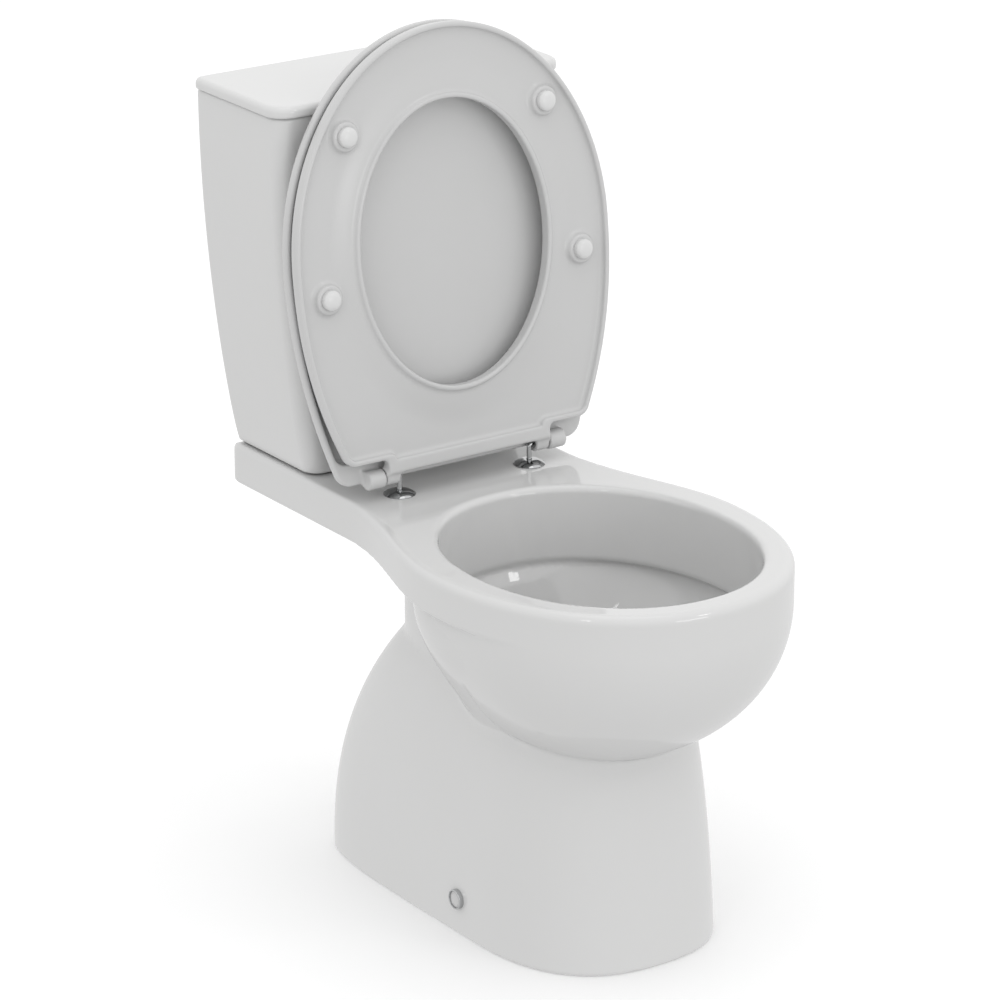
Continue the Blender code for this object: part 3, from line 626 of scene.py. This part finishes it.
def cornered(half, back, front, corner, backCorner, z, steps=8):
    # plan rectangle with round corners, and points close to each corner that keep its sides flat
    points = []
    quarters = (
        (1, front, -1, corner),
        (1, back, 1, backCorner),
        (-1, back, 1, backCorner),
        (-1, front, -1, corner),
    )
    for turn, (side, depth, inward, radius) in enumerate(quarters):
        cx, cy = side * (half - radius), wallY - (depth + inward * radius)
        arc = []
        for i in range(steps + 1):
            angle = math.pi / 2 * (turn + i / steps)
            arc.append((cx + radius * math.sin(angle), cy - radius * math.cos(angle), z))
        first, last = math.pi / 2 * turn, math.pi / 2 * (turn + 1)
        ahead = 0.0015
        start = (arc[0][0] - ahead * math.cos(first), arc[0][1] - ahead * math.sin(first), z)
        end = (arc[-1][0] + ahead * math.cos(last), arc[-1][1] + ahead * math.sin(last), z)
        points += [start, *arc, end]
    spaced = []
    for i, here in enumerate(points):
        spaced.append(here)
        after = points[(i + 1) % len(points)]
        if math.dist(here, after) > 0.02:
            spaced += [tuple(Vector(here).lerp(Vector(after), k / 6)) for k in range(1, 6)]
    return spaced


def lofted(name, rings, closed=False):
    # a smooth skin through rings of equal count, closed by its ends or back onto its start
    shape = bmesh.new()
    rows = [[shape.verts.new(point) for point in ring] for ring in rings]
    pairs = list(zip(rows, rows[1:])) + ([(rows[-1], rows[0])] if closed else [])
    for lower, upper in pairs:
        for i in range(len(lower)):
            j = (i + 1) % len(lower)
            shape.faces.new((lower[i], lower[j], upper[j], upper[i]))
    if not closed:
        for row in (rows[0], rows[-1]):
            middle = shape.verts.new(sum((v.co for v in row), Vector()) / len(row))
            for i in range(len(row)):
                shape.faces.new((row[i], row[(i + 1) % len(row)], middle))
    bmesh.ops.recalc_face_normals(shape, faces=shape.faces)
    mesh = bpy.data.meshes.new(name)
    shape.to_mesh(mesh)
    shape.free()
    mesh.shade_smooth()
    return mesh


def cisternRing(inset, z):
    share = min(max((z - cistern["base"]) / (cistern["top"] - cistern["base"]), 0), 1)
    swell = math.sin(math.pi / 2 * share) ** 0.8
    half = cistern["halfLow"] + (cistern["halfHigh"] - cistern["halfLow"]) * swell
    depth = cistern["depthLow"] + (cistern["depthHigh"] - cistern["depthLow"]) * swell
    corner = max(cistern["corner"] - inset * 0.6, 0.003)
    back = max(cistern["backCorner"] - inset * 0.2, 0.002)
    return cornered(half - inset, inset, depth - inset, corner, back, z)


def cisternMesh():
    base, top, wall = cistern["base"], cistern["top"], cistern["wall"]
    floor, foot = base + cistern["floor"], cistern["foot"]
    quarter = [math.pi / 2 * i / 6 for i in range(7)]
    rings = [cisternRing(wall + 0.030, floor), cisternRing(wall + 0.0075, floor)]
    for angle in quarter[1:]:
        rings.append(
            cisternRing(wall + 0.006 * (1 - math.sin(angle)), floor + 0.006 * (1 - math.cos(angle)))
        )
    rings += [cisternRing(wall, floor + 0.02 + (top - 0.03 - floor) * k / 12) for k in range(13)]
    for i in range(9):  # over the rim of the open tank
        angle = math.pi * i / 8
        inset = wall / 2 + wall / 2 * math.cos(angle)
        rings.append(cisternRing(inset, top - 0.0035 + 0.0035 * math.sin(angle)))
    low = base + foot
    rings += [cisternRing(0.0, top - 0.008 - (top - 0.008 - low) * k / 40) for k in range(41)]
    for angle in quarter[1:]:
        rings.append(
            cisternRing(foot * (1 - math.cos(angle)), base + foot * (1 - math.sin(angle)))
        )
    rings += [cisternRing(foot + 0.0015, base), cisternRing(0.030, base)]
    return lofted("cistern", rings)


def roundHoles(piece, holes, low, high):
    # drills (radius, x, depth) holes right through a piece between two heights
    shape = bmesh.new()
    for radius, x, depth in holes:
        place = Matrix.Translation((x, wallY - depth, (low + high) / 2))
        bmesh.ops.create_cone(
            shape,
            cap_ends=True,
            segments=48,
            radius1=radius,
            radius2=radius,
            depth=high - low,
            matrix=place,
        )
    mesh = bpy.data.meshes.new("drill")
    shape.to_mesh(mesh)
    shape.free()
    drill = bpy.data.objects.new("drill", mesh)
    scene.collection.objects.link(drill)
    step = piece.modifiers.new("holes", "BOOLEAN")
    step.operation, step.object, step.solver = "DIFFERENCE", drill, "EXACT"
    made = evaluatedMesh(piece)
    made.set_sharp_from_angle(angle=math.radians(40))
    bpy.data.objects.remove(drill)
    return made


def evaluatedMesh(piece):
    # the mesh after the piece's modifiers; the piece itself is removed
    bpy.context.view_layer.update()
    graph = bpy.context.evaluated_depsgraph_get()
    mesh = bpy.data.meshes.new_from_object(piece.evaluated_get(graph))
    bpy.data.objects.remove(piece)
    return mesh


def loose(name, mesh):
    piece = bpy.data.objects.new(name, mesh)
    scene.collection.objects.link(piece)
    return piece


tankHoles = [(0.0305, 0, 0.075), (0.0115, 0.095, 0.045)]
tankHoles += [(0.0055, 0.073, 0.092), (0.0055, -0.073, 0.092)]
tankMesh = roundHoles(loose("tankBlank", cisternMesh()), tankHoles, 0.39, 0.43)
placed("cistern", tankMesh, china, "root", "glazed_china", "cistern")


def lidMesh():
    low = cistern["top"] + 0.0003
    high = low + lid["thick"]
    half, front = cistern["halfHigh"] + lid["over"], cistern["depthHigh"] + lid["over"]

    def ring(inset, z):
        corner = max(lid["corner"] - inset, 0.006)
        back = max(lid["backCorner"] - inset, 0.003)
        return cornered(half - inset, min(inset, 0.02), front - inset, corner, back, z)

    def holeRing(radius, z):
        middle = Vector((0, wallY - lid["buttonDepth"], z))
        around = []
        for point in ring(0.03, z):
            around.append(tuple(middle + (Vector(point) - middle).normalized() * radius))
        return around

    def arc(radius, start, end, steps, build):
        turns = [math.radians(start + (end - start) * k / steps) for k in range(steps + 1)]
        return [build(radius, turn) for turn in turns]

    top, bottom = lid["topEdge"], lid["lowEdge"]
    rings = [holeRing(lid["hole"], low + 0.006), holeRing(lid["hole"], high - 0.001)]
    rings += [holeRing(lid["hole"] + 0.001, high), holeRing(lid["hole"] + 0.012, high)]
    rings += [ring(0.030, high), ring(top + 0.0015, high)]
    rings += arc(top, 90, 0, 8, lambda r, a: ring(r - r * math.cos(a), high - r + r * math.sin(a)))
    rings += [ring(0.0, low + bottom + 0.001)]
    rings += arc(bottom, 0, 90, 5, lambda r, a: ring(r - r * math.cos(a), low + r - r * math.sin(a)))
    lip = 0.016
    rings += [ring(bottom + 0.001, low), ring(lip - 0.001, low), ring(lip, low - 0.001)]
    rings += [ring(lip, low - 0.005), ring(lip + 0.001, low - 0.006)]
    rings += [ring(lip + 0.006, low - 0.006), ring(lip + 0.007, low - 0.005)]
    rings += [ring(lip + 0.007, low + 0.005), ring(lip + 0.009, low + 0.006)]
    return lofted("cisternLid", rings, True)


placed("cisternLid", lidMesh(), china, "root", "glazed_china", "cistern_lid")
print("cistern and lid made")


# the ring and the cover are drawn closed about the hinge line and then raised
seat = {
    "hingeDepth": 0.2235,
    "hingeHeight": 0.421,
    "raised": 97.0,
    "half": 0.183,
    "widest": 0.215,
    "tip": 0.4345,
    "ringLow": -0.0130,
    "ringHigh": 0.0045,
    "coverLow": 0.0060,
    "coverHigh": 0.0195,
    "holeHalf": 0.1097,
    "holeReach": 0.1417,
    "holeMiddle": 0.219,
    "crown": 0.0105,  # rounding of the ring's upper edges
    "holeCrown": (0.0085, 0.0110),  # height and width of the rounding down into the hole
    "outerLip": 0.0054,
    "innerLip": 0.0046,
    "panel": 0.0058,  # how deep the underside is recessed, and less so by the hole
    "panelByHole": 0.0034,
    "bore": 0.0031,
    "buffers": ((0.116, 0.341), (0.1485, 0.1875)),
}
raising = (
    Matrix.Translation((0, wallY - seat["hingeDepth"], seat["hingeHeight"]))
    @ Matrix.Rotation(-math.radians(seat["raised"]), 4, "X")
)


def seatSide(inset, narrow, start, power):
    # plan outline: a bowed side up to the widest place, then half an oval to the tip
    def shape(x, y, z):
        along = -y
        rest = np.clip((seat["widest"] - along) / (seat["widest"] - start), 0, 2)
        side = np.abs(x) - (seat["half"] - narrow * rest**power - inset)
        reach = seat["tip"] - seat["widest"] - inset
        half = seat["half"] - inset
        tip = (np.hypot(x / half, (along - seat["widest"]) / reach) - 1) * half
        return np.where(along < seat["widest"], side, tip)

    return shape


def behind(points, start):
    # everything further from the hinge line than start
    way = np.zeros_like(points)
    way[:, 1] = 1
    return points[:, 1] + start, way


def slabShape(halfWidth, start, end):
    return lambda x, y, z: np.maximum(
        np.abs(x) - halfWidth, np.abs(-y - (start + end) / 2) - (end - start) / 2
    )


def seatHole(grow):
    half, reach = seat["holeHalf"] + grow, seat["holeReach"] + grow

    def shape(x, y, z):
        return (np.hypot(x / half, (-y - seat["holeMiddle"]) / reach) - 1) * half

    return shape


def flaredHole(x, y, z):
    # the hole widens upwards, so that the ring's top rounds down into it
    tall, wide = seat["holeCrown"]
    rise = np.clip((z - seat["ringHigh"]) / tall + 1, 0, 0.995)
    return seatHole(0.0)(x, y, z) - wide * (1 - np.sqrt(1 - rise**2))


def barrelShape(radius, start, end):
    def shape(x, y, z):
        long = np.abs(np.abs(x) - (start + end) / 2) - (end - start) / 2
        return np.maximum(np.hypot(y, z) - radius, long)

    return shape


def panelFloor(x, y, z):
    # the recessed underside rises softly towards the hole
    share = ease((seatHole(seat["innerLip"])(x, y, z)) / 0.030)
    deep = seat["panelByHole"] + (seat["panel"] - seat["panelByHole"]) * share
    return z - (seat["ringLow"] + deep)


def ringBody(points):
    def part(shape):
        return measured(shape, points)

    low, high, lip = seat["ringLow"], seat["ringHigh"], seat["outerLip"]
    plan = common(part(seatSide(0.0, 0.030, 0.048, 2.2)), behind(points, 0.0195), 0.013)
    plan = joined(plan, part(slabShape(0.0960, 0.0045, 0.060)), 0.006)
    solid = common(plan, flat(points, high, 1), seat["crown"])
    solid = common(solid, flat(points, low, -1), 0.0024)
    panel = common(part(seatSide(lip, 0.030, 0.048, 2.2)), behind(points, 0.0195 + lip), 0.009)
    panel = joined(panel, part(slabShape(0.0860, 0.0185, 0.060)), 0.008)
    panel = without(panel, part(seatHole(seat["innerLip"])), 0.002)
    panel = common(panel, part(panelFloor), 0.0040)
    for x, along in seat["buffers"]:
        boss = part(lambda px, y, z: np.hypot(np.abs(px) - x, -y - along) - 0.0148)
        boss = common(boss, flat(points, low - 0.0004, -1), 0.0030)
        panel = without(panel, boss, 0.0045)
    solid = without(solid, panel, 0.0016)
    solid = without(solid, part(flaredHole), 0.0018)
    knuckle = part(barrelShape(0.0085, 0.0815, 0.0965))
    solid = joined(solid, knuckle, 0.006)
    solid = without(solid, part(barrelShape(0.0050, 0.076, 0.0852)), 0.0006)
    return without(solid, part(barrelShape(seat["bore"], 0.070, 0.110)), 0.0006)


def coverTop(x, y, z):
    crown = 0.0022 * ((x / 0.18) ** 2 + ((-y - 0.20) / 0.235) ** 2) ** 1.5
    return z - (seat["coverHigh"] - crown)


def coverBody(points):
    def part(shape):
        return measured(shape, points)

    low = seat["coverLow"]
    plan = common(part(seatSide(0.0, 0.0315, 0.026, 2.0)), behind(points, -0.004), 0.017)
    solid = common(plan, part(coverTop), 0.0055)
    solid = common(solid, flat(points, low, -1), 0.0030)
    panel = common(part(seatSide(0.0066, 0.0315, 0.026, 2.0)), behind(points, 0.0190), 0.012)
    panel = common(panel, flat(points, low + 0.0082, 1), 0.0060)
    solid = without(solid, panel, 0.0024)
    notch = part(barrelShape(0.0098, 0.0805, 0.0975))
    solid = without(solid, notch, 0.0006)
    web = part(
        lambda x, y, z: np.maximum(
            np.abs(np.abs(x) - 0.1060) - 0.0080,
            np.maximum(np.abs(y) - 0.0078, np.abs(z - 0.0045) - 0.0045),
        )
    )
    barrel = common(part(barrelShape(0.0096, 0.0978, 0.1165)), flat(points, -0.0096, -1), 0.001)
    solid = joined(solid, joined(barrel, web, 0.002), 0.0035)
    return without(solid, part(barrelShape(seat["bore"], 0.090, 0.1100)), 0.0006)


seatAcross, seatAlong = between(-0.1865, 0.1865, 0.0019), between(-0.438, 0.0125, 0.0019)
ringAcross, ringAlong = between(-0.1865, 0.1865, 0.0016), between(-0.438, 0.0125, 0.0016)
ringMesh = skinned("seatRing", ringBody, ringAcross, ringAlong, between(-0.0158, 0.0115, 0.0013))
ringMesh.transform(raising)
placed("seatRing", ringMesh, seatWhite, "seat_ring", "seat_plastic", "seat_ring")
coverMesh = skinned("seatCover", coverBody, seatAcross, seatAlong, between(-0.0105, 0.0225, 0.0019))
coverMesh.transform(raising)
placed("seatCover", coverMesh, seatWhite, "seat_cover", "seat_plastic", "seat_cover")
print("seat ring:", len(ringMesh.polygons), "faces, cover:", len(coverMesh.polygons), "faces")


# small pieces that repeat: geometry nodes put a pattern on each place
def turnedMesh(name, profile, sides=64):
    # a profile of (radius, height) turned about Z; a radius of 0 closes it
    shape = bmesh.new()
    rows = []
    for radius, height in profile:
        if radius == 0:
            rows.append([shape.verts.new((0, 0, height))] * sides)
        else:
            turn = [2 * math.pi * i / sides for i in range(sides)]
            rows.append(
                [shape.verts.new((radius * math.cos(a), radius * math.sin(a), height)) for a in turn]
            )
    for lower, upper in zip(rows, rows[1:]):
        for i in range(sides):
            j = (i + 1) % sides
            corners = [lower[i], lower[j], upper[j], upper[i]]
            shape.faces.new(list(dict.fromkeys(corners)))
    bmesh.ops.recalc_face_normals(shape, faces=shape.faces)
    mesh = bpy.data.meshes.new(name)
    shape.to_mesh(mesh)
    shape.free()
    mesh.shade_smooth()
    mesh.set_sharp_from_angle(angle=math.radians(50))
    return mesh


def copyTree():
    tree = bpy.data.node_groups.new("copiesOnPlaces", "GeometryNodeTree")
    tree.is_modifier = True
    inputs = {}
    for name, kind in (
        ("Geometry", "NodeSocketGeometry"),
        ("Pattern", "NodeSocketObject"),
        ("Turn", "NodeSocketVector"),
        ("Size", "NodeSocketFloat"),
        ("Finish", "NodeSocketMaterial"),
    ):
        inputs[name] = tree.interface.new_socket(name, in_out="INPUT", socket_type=kind).identifier
    tree.interface.new_socket("Geometry", in_out="OUTPUT", socket_type="NodeSocketGeometry")
    start, end = tree.nodes.new("NodeGroupInput"), tree.nodes.new("NodeGroupOutput")
    pattern = tree.nodes.new("GeometryNodeObjectInfo")
    copies = tree.nodes.new("GeometryNodeInstanceOnPoints")
    real = tree.nodes.new("GeometryNodeRealizeInstances")
    painted = tree.nodes.new("GeometryNodeSetMaterial")
    link = tree.links.new
    link(start.outputs["Pattern"], pattern.inputs["Object"])
    link(start.outputs["Geometry"], copies.inputs["Points"])
    link(pattern.outputs["Geometry"], copies.inputs["Instance"])
    link(start.outputs["Turn"], copies.inputs["Rotation"])
    link(start.outputs["Size"], copies.inputs["Scale"])
    link(copies.outputs["Instances"], real.inputs["Geometry"])
    link(real.outputs["Geometry"], painted.inputs["Geometry"])
    link(start.outputs["Finish"], painted.inputs["Material"])
    link(painted.outputs["Geometry"], end.inputs["Geometry"])
    return tree, inputs


copying, copyInputs = copyTree()


def copied(name, patternMesh, places, finish, turn=(0, 0, 0)):
    # one plain mesh with the pattern on every place
    spots = bpy.data.meshes.new(name)
    spots.from_pydata([tuple(place) for place in places], [], [])
    holder, pattern = loose(name, spots), loose(name + "Pattern", patternMesh)
    step = holder.modifiers.new("copies", "NODES")
    step.node_group = copying
    step[copyInputs["Pattern"]] = pattern
    step[copyInputs["Turn"]] = turn
    step[copyInputs["Size"]] = 1.0
    step[copyInputs["Finish"]] = finish
    mesh = evaluatedMesh(holder)
    bpy.data.objects.remove(pattern)
    return mesh


def softRim(radius, low, high, edge, steps=6):
    # the outer side of a turned piece, with a rounded upper edge, going up
    arc = [math.pi / 2 * k / steps for k in range(steps + 1)]
    side = [(radius, low)]
    inner, lower = radius - edge, high - edge
    return side + [(inner + edge * math.cos(a), lower + edge * math.sin(a)) for a in arc]


bufferSize = {"radius": 0.0101, "foot": 0.0026, "high": 0.0070}
bufferProfile = [(0, 0), (bufferSize["radius"], 0)]
for k in range(13):
    angle = math.pi / 2 * k / 12
    across, up = math.cos(angle) ** 0.75, math.sin(angle) ** 0.9
    foot, high = bufferSize["foot"], bufferSize["high"]
    radius = bufferSize["radius"] * across if k < 12 else 0
    bufferProfile.append((radius, foot + (high - foot) * up))
bufferPlaces = [
    (side * x, -along, seat["ringLow"] - 0.0002) for x, along in seat["buffers"] for side in (-1, 1)
]
bufferMesh = copied(
    "seatBuffers", turnedMesh("buffer", bufferProfile), bufferPlaces, bufferWhite, (math.pi, 0, 0)
)
bufferMesh.transform(raising)
placed(
    "seatBuffers",
    bufferMesh,
    bufferWhite,
    "seat_ring",
    "seat_plastic",
    "seat_buffer_front_left",
    "seat_buffer_front_right",
    "seat_buffer_rear_left",
    "seat_buffer_rear_right",
)
coverBufferProfile = [(0, 0), (0.0062, 0)] + softRim(0.0068, 0.0006, 0.0092, 0.0022) + [(0, 0.0092)]
coverBufferPlaces = [(side * 0.126, -0.325, 0.0139) for side in (-1, 1)]
coverBufferMesh = copied(
    "coverBuffers",
    turnedMesh("coverBuffer", coverBufferProfile, 40),
    coverBufferPlaces,
    bufferWhite,
    (math.pi, 0, 0),
)
coverBufferMesh.transform(raising)
placed(
    "coverBuffers",
    coverBufferMesh,
    bufferWhite,
    "seat_cover",
    "seat_plastic",
    "cover_buffer_left",
    "cover_buffer_right",
)

hinge = {"half": 0.0775, "pin": 0.0025, "bend": 0.0035, "disc": 0.0160, "dome": 0.0046}
hingeY = wallY - seat["hingeDepth"]
discProfile = [(0.0030, 0.0), (0.0030, hinge["dome"]), (0.0042, hinge["dome"])]
for k in range(1, 13):
    share = k / 12
    radius = 0.0042 + (hinge["disc"] - 0.0006 - 0.0042) * share
    discProfile.append((radius, 0.0008 + (hinge["dome"] - 0.0008) * (1 - share**2.2)))
discProfile += [(hinge["disc"], 0.0004), (hinge["disc"], 0.0), (0.0030, 0.0)]
discPlaces = [(side * hinge["half"], hingeY, pan["rim"] + 0.0003) for side in (-1, 1)]
placed(
    "hingeDiscs",
    copied("hingeDiscs", turnedMesh("hingeDisc", discProfile, 72), discPlaces, chrome),
    chrome,
    "root",
    "chrome",
    "hinge_disc_left",
    "hinge_disc_right",
)


def pintleMesh():
    # both bent pins: up through the disc, round a bend and out along the hinge line
    curve = bpy.data.curves.new("pintles", "CURVE")
    curve.dimensions, curve.bevel_depth, curve.bevel_resolution = "3D", hinge["pin"], 8
    curve.use_fill_caps = True
    for side in (-1, 1):
        x, top, bend = side * hinge["half"], seat["hingeHeight"], hinge["bend"]
        path = [(x, hingeY, 0.372), (x, hingeY, top - bend - 0.002)]
        for k in range(13):
            a = math.pi / 2 * k / 12
            path.append((x + side * bend * (1 - math.cos(a)), hingeY, top - bend + bend * math.sin(a)))
        path += [(side * 0.0840, hingeY, top), (side * 0.1090, hingeY, top)]
        line = curve.splines.new("POLY")
        line.points.add(len(path) - 1)
        for point, place in zip(line.points, path):
            point.co = (*place, 1)
    piece = bpy.data.objects.new("pintles", curve)
    scene.collection.objects.link(piece)
    mesh = evaluatedMesh(piece)
    bpy.data.curves.remove(curve)
    mesh.shade_smooth()
    mesh.set_sharp_from_angle(angle=math.radians(50))
    return mesh


placed(
    "hingePintles",
    pintleMesh(),
    chrome,
    "root",
    "chrome",
    "hinge_pintle_left",
    "hinge_pintle_right",
)

sideCap = {"depth": 0.383, "height": 0.037, "start": 0.1189, "faceOut": 0.0032}
ringProfile = [(0.0084, 0.0), (0.0084, 0.0048), (0.0086, 0.0051), (0.0094, 0.0051)]
ringProfile += [(0.0098, 0.0048), (0.0100, 0.0042), (0.0100, 0.0), (0.0084, 0.0)]
faceProfile = [(0, 0), (0.0082, 0), (0.0082, 0.0002), (0.0076, 0.0005), (0.0040, 0.0008)]
faceProfile += [(0, 0.0009)]
capY, capTurn = wallY - sideCap["depth"], math.pi / 2
for name, profile, start, finish, slot, node in (
    ("sideCapRing", ringProfile, 0.0, chrome, "chrome", "side_cap_ring"),
    ("sideCapFace", faceProfile, sideCap["faceOut"], seatWhite, "seat_plastic", "side_cap"),
):
    for side, hand in ((-1, "left"), (1, "right")):
        spot = (side * (sideCap["start"] + start), capY, sideCap["height"])
        mesh = copied(name, turnedMesh(name, profile, 72), [spot], finish, (0, side * capTurn, 0))
        placed(name + hand.title(), mesh, finish, "root", slot, f"{node}_{hand}")

button = {"radius": 0.0172, "split": 0.0030, "play": 0.0006, "edge": 0.0011}
buttonY = wallY - lid["buttonDepth"]
buttonTop = cistern["top"] + lid["thick"] + 0.0003
housingProfile = [(0.0198, -0.0343), (0.0198, 0.0003), (0.0265, 0.0003), (0.0265, 0.0016)]
housingProfile += [(0.0262, 0.0026), (0.0254, 0.0033), (0.0240, 0.0036), (0.0196, 0.0032)]
housingProfile += [(0.0184, 0.0024), (0.0178, 0.0010), (0.0178, -0.0308), (0, -0.0308)]
housingMesh = turnedMesh("buttonHousing", [(0, -0.0343)] + housingProfile, 96)
housingPiece = loose("housingBlank", housingMesh)
housingMesh.transform(Matrix.Translation((0, buttonY, buttonTop)))
rodHoles = [(0.0034, -0.008, lid["buttonDepth"]), (0.0034, 0.0105, lid["buttonDepth"])]
housingMesh = roundHoles(housingPiece, rodHoles, buttonTop - 0.045, buttonTop - 0.020)
placed("buttonHousing", housingMesh, chrome, "root", "chrome", "button_housing")


def buttonMesh(side):
    def ring(inset, height):
        radius = button["radius"] - inset
        cut = button["split"] + side * (button["play"] + inset)
        turn = math.acos(cut / radius)
        low, high = (-turn, turn) if side > 0 else (turn, 2 * math.pi - turn)
        points = []
        for k in range(41):
            a = low + (high - low) * k / 40
            x, y = radius * math.cos(a), buttonY + radius * math.sin(a)
            points.append((x, y, buttonTop + height))
        x, end = radius * math.cos(low), points[0]
        for k in range(1, 10):
            share = k / 10
            y = points[40][1] + (end[1] - points[40][1]) * share
            points.append((x, y, buttonTop + height))
        return points

    edge = button["edge"]
    rings = [ring(0.0006, -0.008), ring(0.0, -0.0074), ring(0.0, 0.0030 - edge - 0.0005)]
    for k in range(7):
        a = math.pi / 2 * k / 6
        rings.append(ring(edge * (1 - math.cos(a)), 0.0030 - edge + edge * math.sin(a)))
    rings.append(ring(edge + 0.0008, 0.0030))
    return lofted("buttonHalf", rings)


for side, name in ((-1, "full"), (1, "half")):
    placed(f"{name}Button", buttonMesh(side), chrome, f"{name}_button", "chrome", f"button_{name}")
print("small fittings made")


cameraPlace = {
    "location": (-2.54967, -3.61478, 2.01753),
    "turn": -34.9,
    "tilt": 20.0,
    "lens": 174.67,
}


def addCamera():
    data = bpy.data.cameras.new("camera")
    data.lens, data.sensor_width = cameraPlace["lens"], 36.0
    data.clip_start, data.clip_end = 0.1, 60.0
    camera = bpy.data.objects.new("camera", data)
    scene.collection.objects.link(camera)
    a, e = math.radians(cameraPlace["turn"]), math.radians(cameraPlace["tilt"])
    back = Vector((math.sin(a) * math.cos(e), -math.cos(a) * math.cos(e), math.sin(e)))
    camera.rotation_mode = "QUATERNION"
    camera.rotation_quaternion = (-back).to_track_quat("-Z", "Y")
    camera.location = cameraPlace["location"]
    scene.camera = camera


studio = {
    "above": 1.13,  # soft light from above the horizon, and what comes back from below it
    "below": 0.90,
    "lowest": -0.25,  # between these heights of view the one blends into the other
    "highest": 0.45,
    "key": {"place": (1.4, -2.9, 2.6), "size": (0.5, 0.5), "watts": 4.5},
    "fill": {"place": (-2.5, -1.6, 2.4), "size": (0.3, 0.8), "watts": 2.5},
    "top": {"place": (0.0, 0.0, 3.2), "size": (1.6, 1.6), "watts": 4},
    "front": {"place": (0.6, -3.2, 0.9), "size": (1.2, 0.6), "watts": 6},
}


def addLight(name, setting):
    data = bpy.data.lights.new(name, "AREA")
    data.shape, data.energy = "RECTANGLE", setting["watts"]
    data.size, data.size_y = setting["size"]
    light = bpy.data.objects.new(name, data)
    scene.collection.objects.link(light)
    light.location = setting["place"]
    light.rotation_mode = "QUATERNION"
    aim = Vector((0, 0, 0.4)) - light.location
    light.rotation_quaternion = aim.to_track_quat("-Z", "Y")


def addStudio():
    world = bpy.data.worlds.new("studio")
    world.use_nodes = True
    tree = world.node_tree
    way, split = tree.nodes.new("ShaderNodeTexCoord"), tree.nodes.new("ShaderNodeSeparateXYZ")
    blend = tree.nodes.new("ShaderNodeMapRange")
    values = {"From Min": studio["lowest"], "From Max": studio["highest"]}
    values |= {"To Min": studio["below"], "To Max": studio["above"]}
    for name, value in values.items():
        blend.inputs[name].default_value = value
    background = tree.nodes["Background"]
    background.inputs["Color"].default_value = (1, 1, 1, 1)
    tree.links.new(way.outputs["Generated"], split.inputs["Vector"])
    tree.links.new(split.outputs["Z"], blend.inputs["Value"])
    tree.links.new(blend.outputs["Result"], background.inputs["Strength"])
    scene.world = world
    for name in ("key", "fill", "top", "front"):
        addLight(name, studio[name])
    shape = bmesh.new()
    bmesh.ops.create_grid(shape, x_segments=1, y_segments=1, size=14.0)
    mesh = bpy.data.meshes.new("floor")
    shape.to_mesh(mesh)
    shape.free()
    floor = bpy.data.objects.new("floor", mesh)
    scene.collection.objects.link(floor)
    floor.location = (0, 0, -0.0006)
    look = Finish("paleFloor")
    tone = look.between(look.noise(3.0, 3.0), (0.96, 0.96, 0.96), (0.95, 0.95, 0.95))
    mesh.materials.append(look.set(Base_Color=tone, Roughness=0.8))
    floor.visible_diffuse = floor.visible_glossy = False  # light from below comes from the world


addCamera()
addStudio()
scene.view_settings.view_transform = "Standard"

carried = {
    "glazed_china": china,
    "seat_plastic": seatWhite,
    "fitting_plastic": fittingWhite,
    "blue_plastic": fittingBlue,
    "chrome": chrome,
    "brass": brass,
    "zinc_steel": zinc,
    "rubber": rubber,
}


def finishCarriedNodes():
    slots = {row["node"]: row["material_slot"] for row in frame["record"]["subparts"]}
    for name, node in frame["nodes"].items():
        finish = carried[slots[name]]
        for slot in node.material_slots:
            slot.material = finish
        if not node.material_slots:
            node.data.materials.append(finish)


finishCarriedNodes()
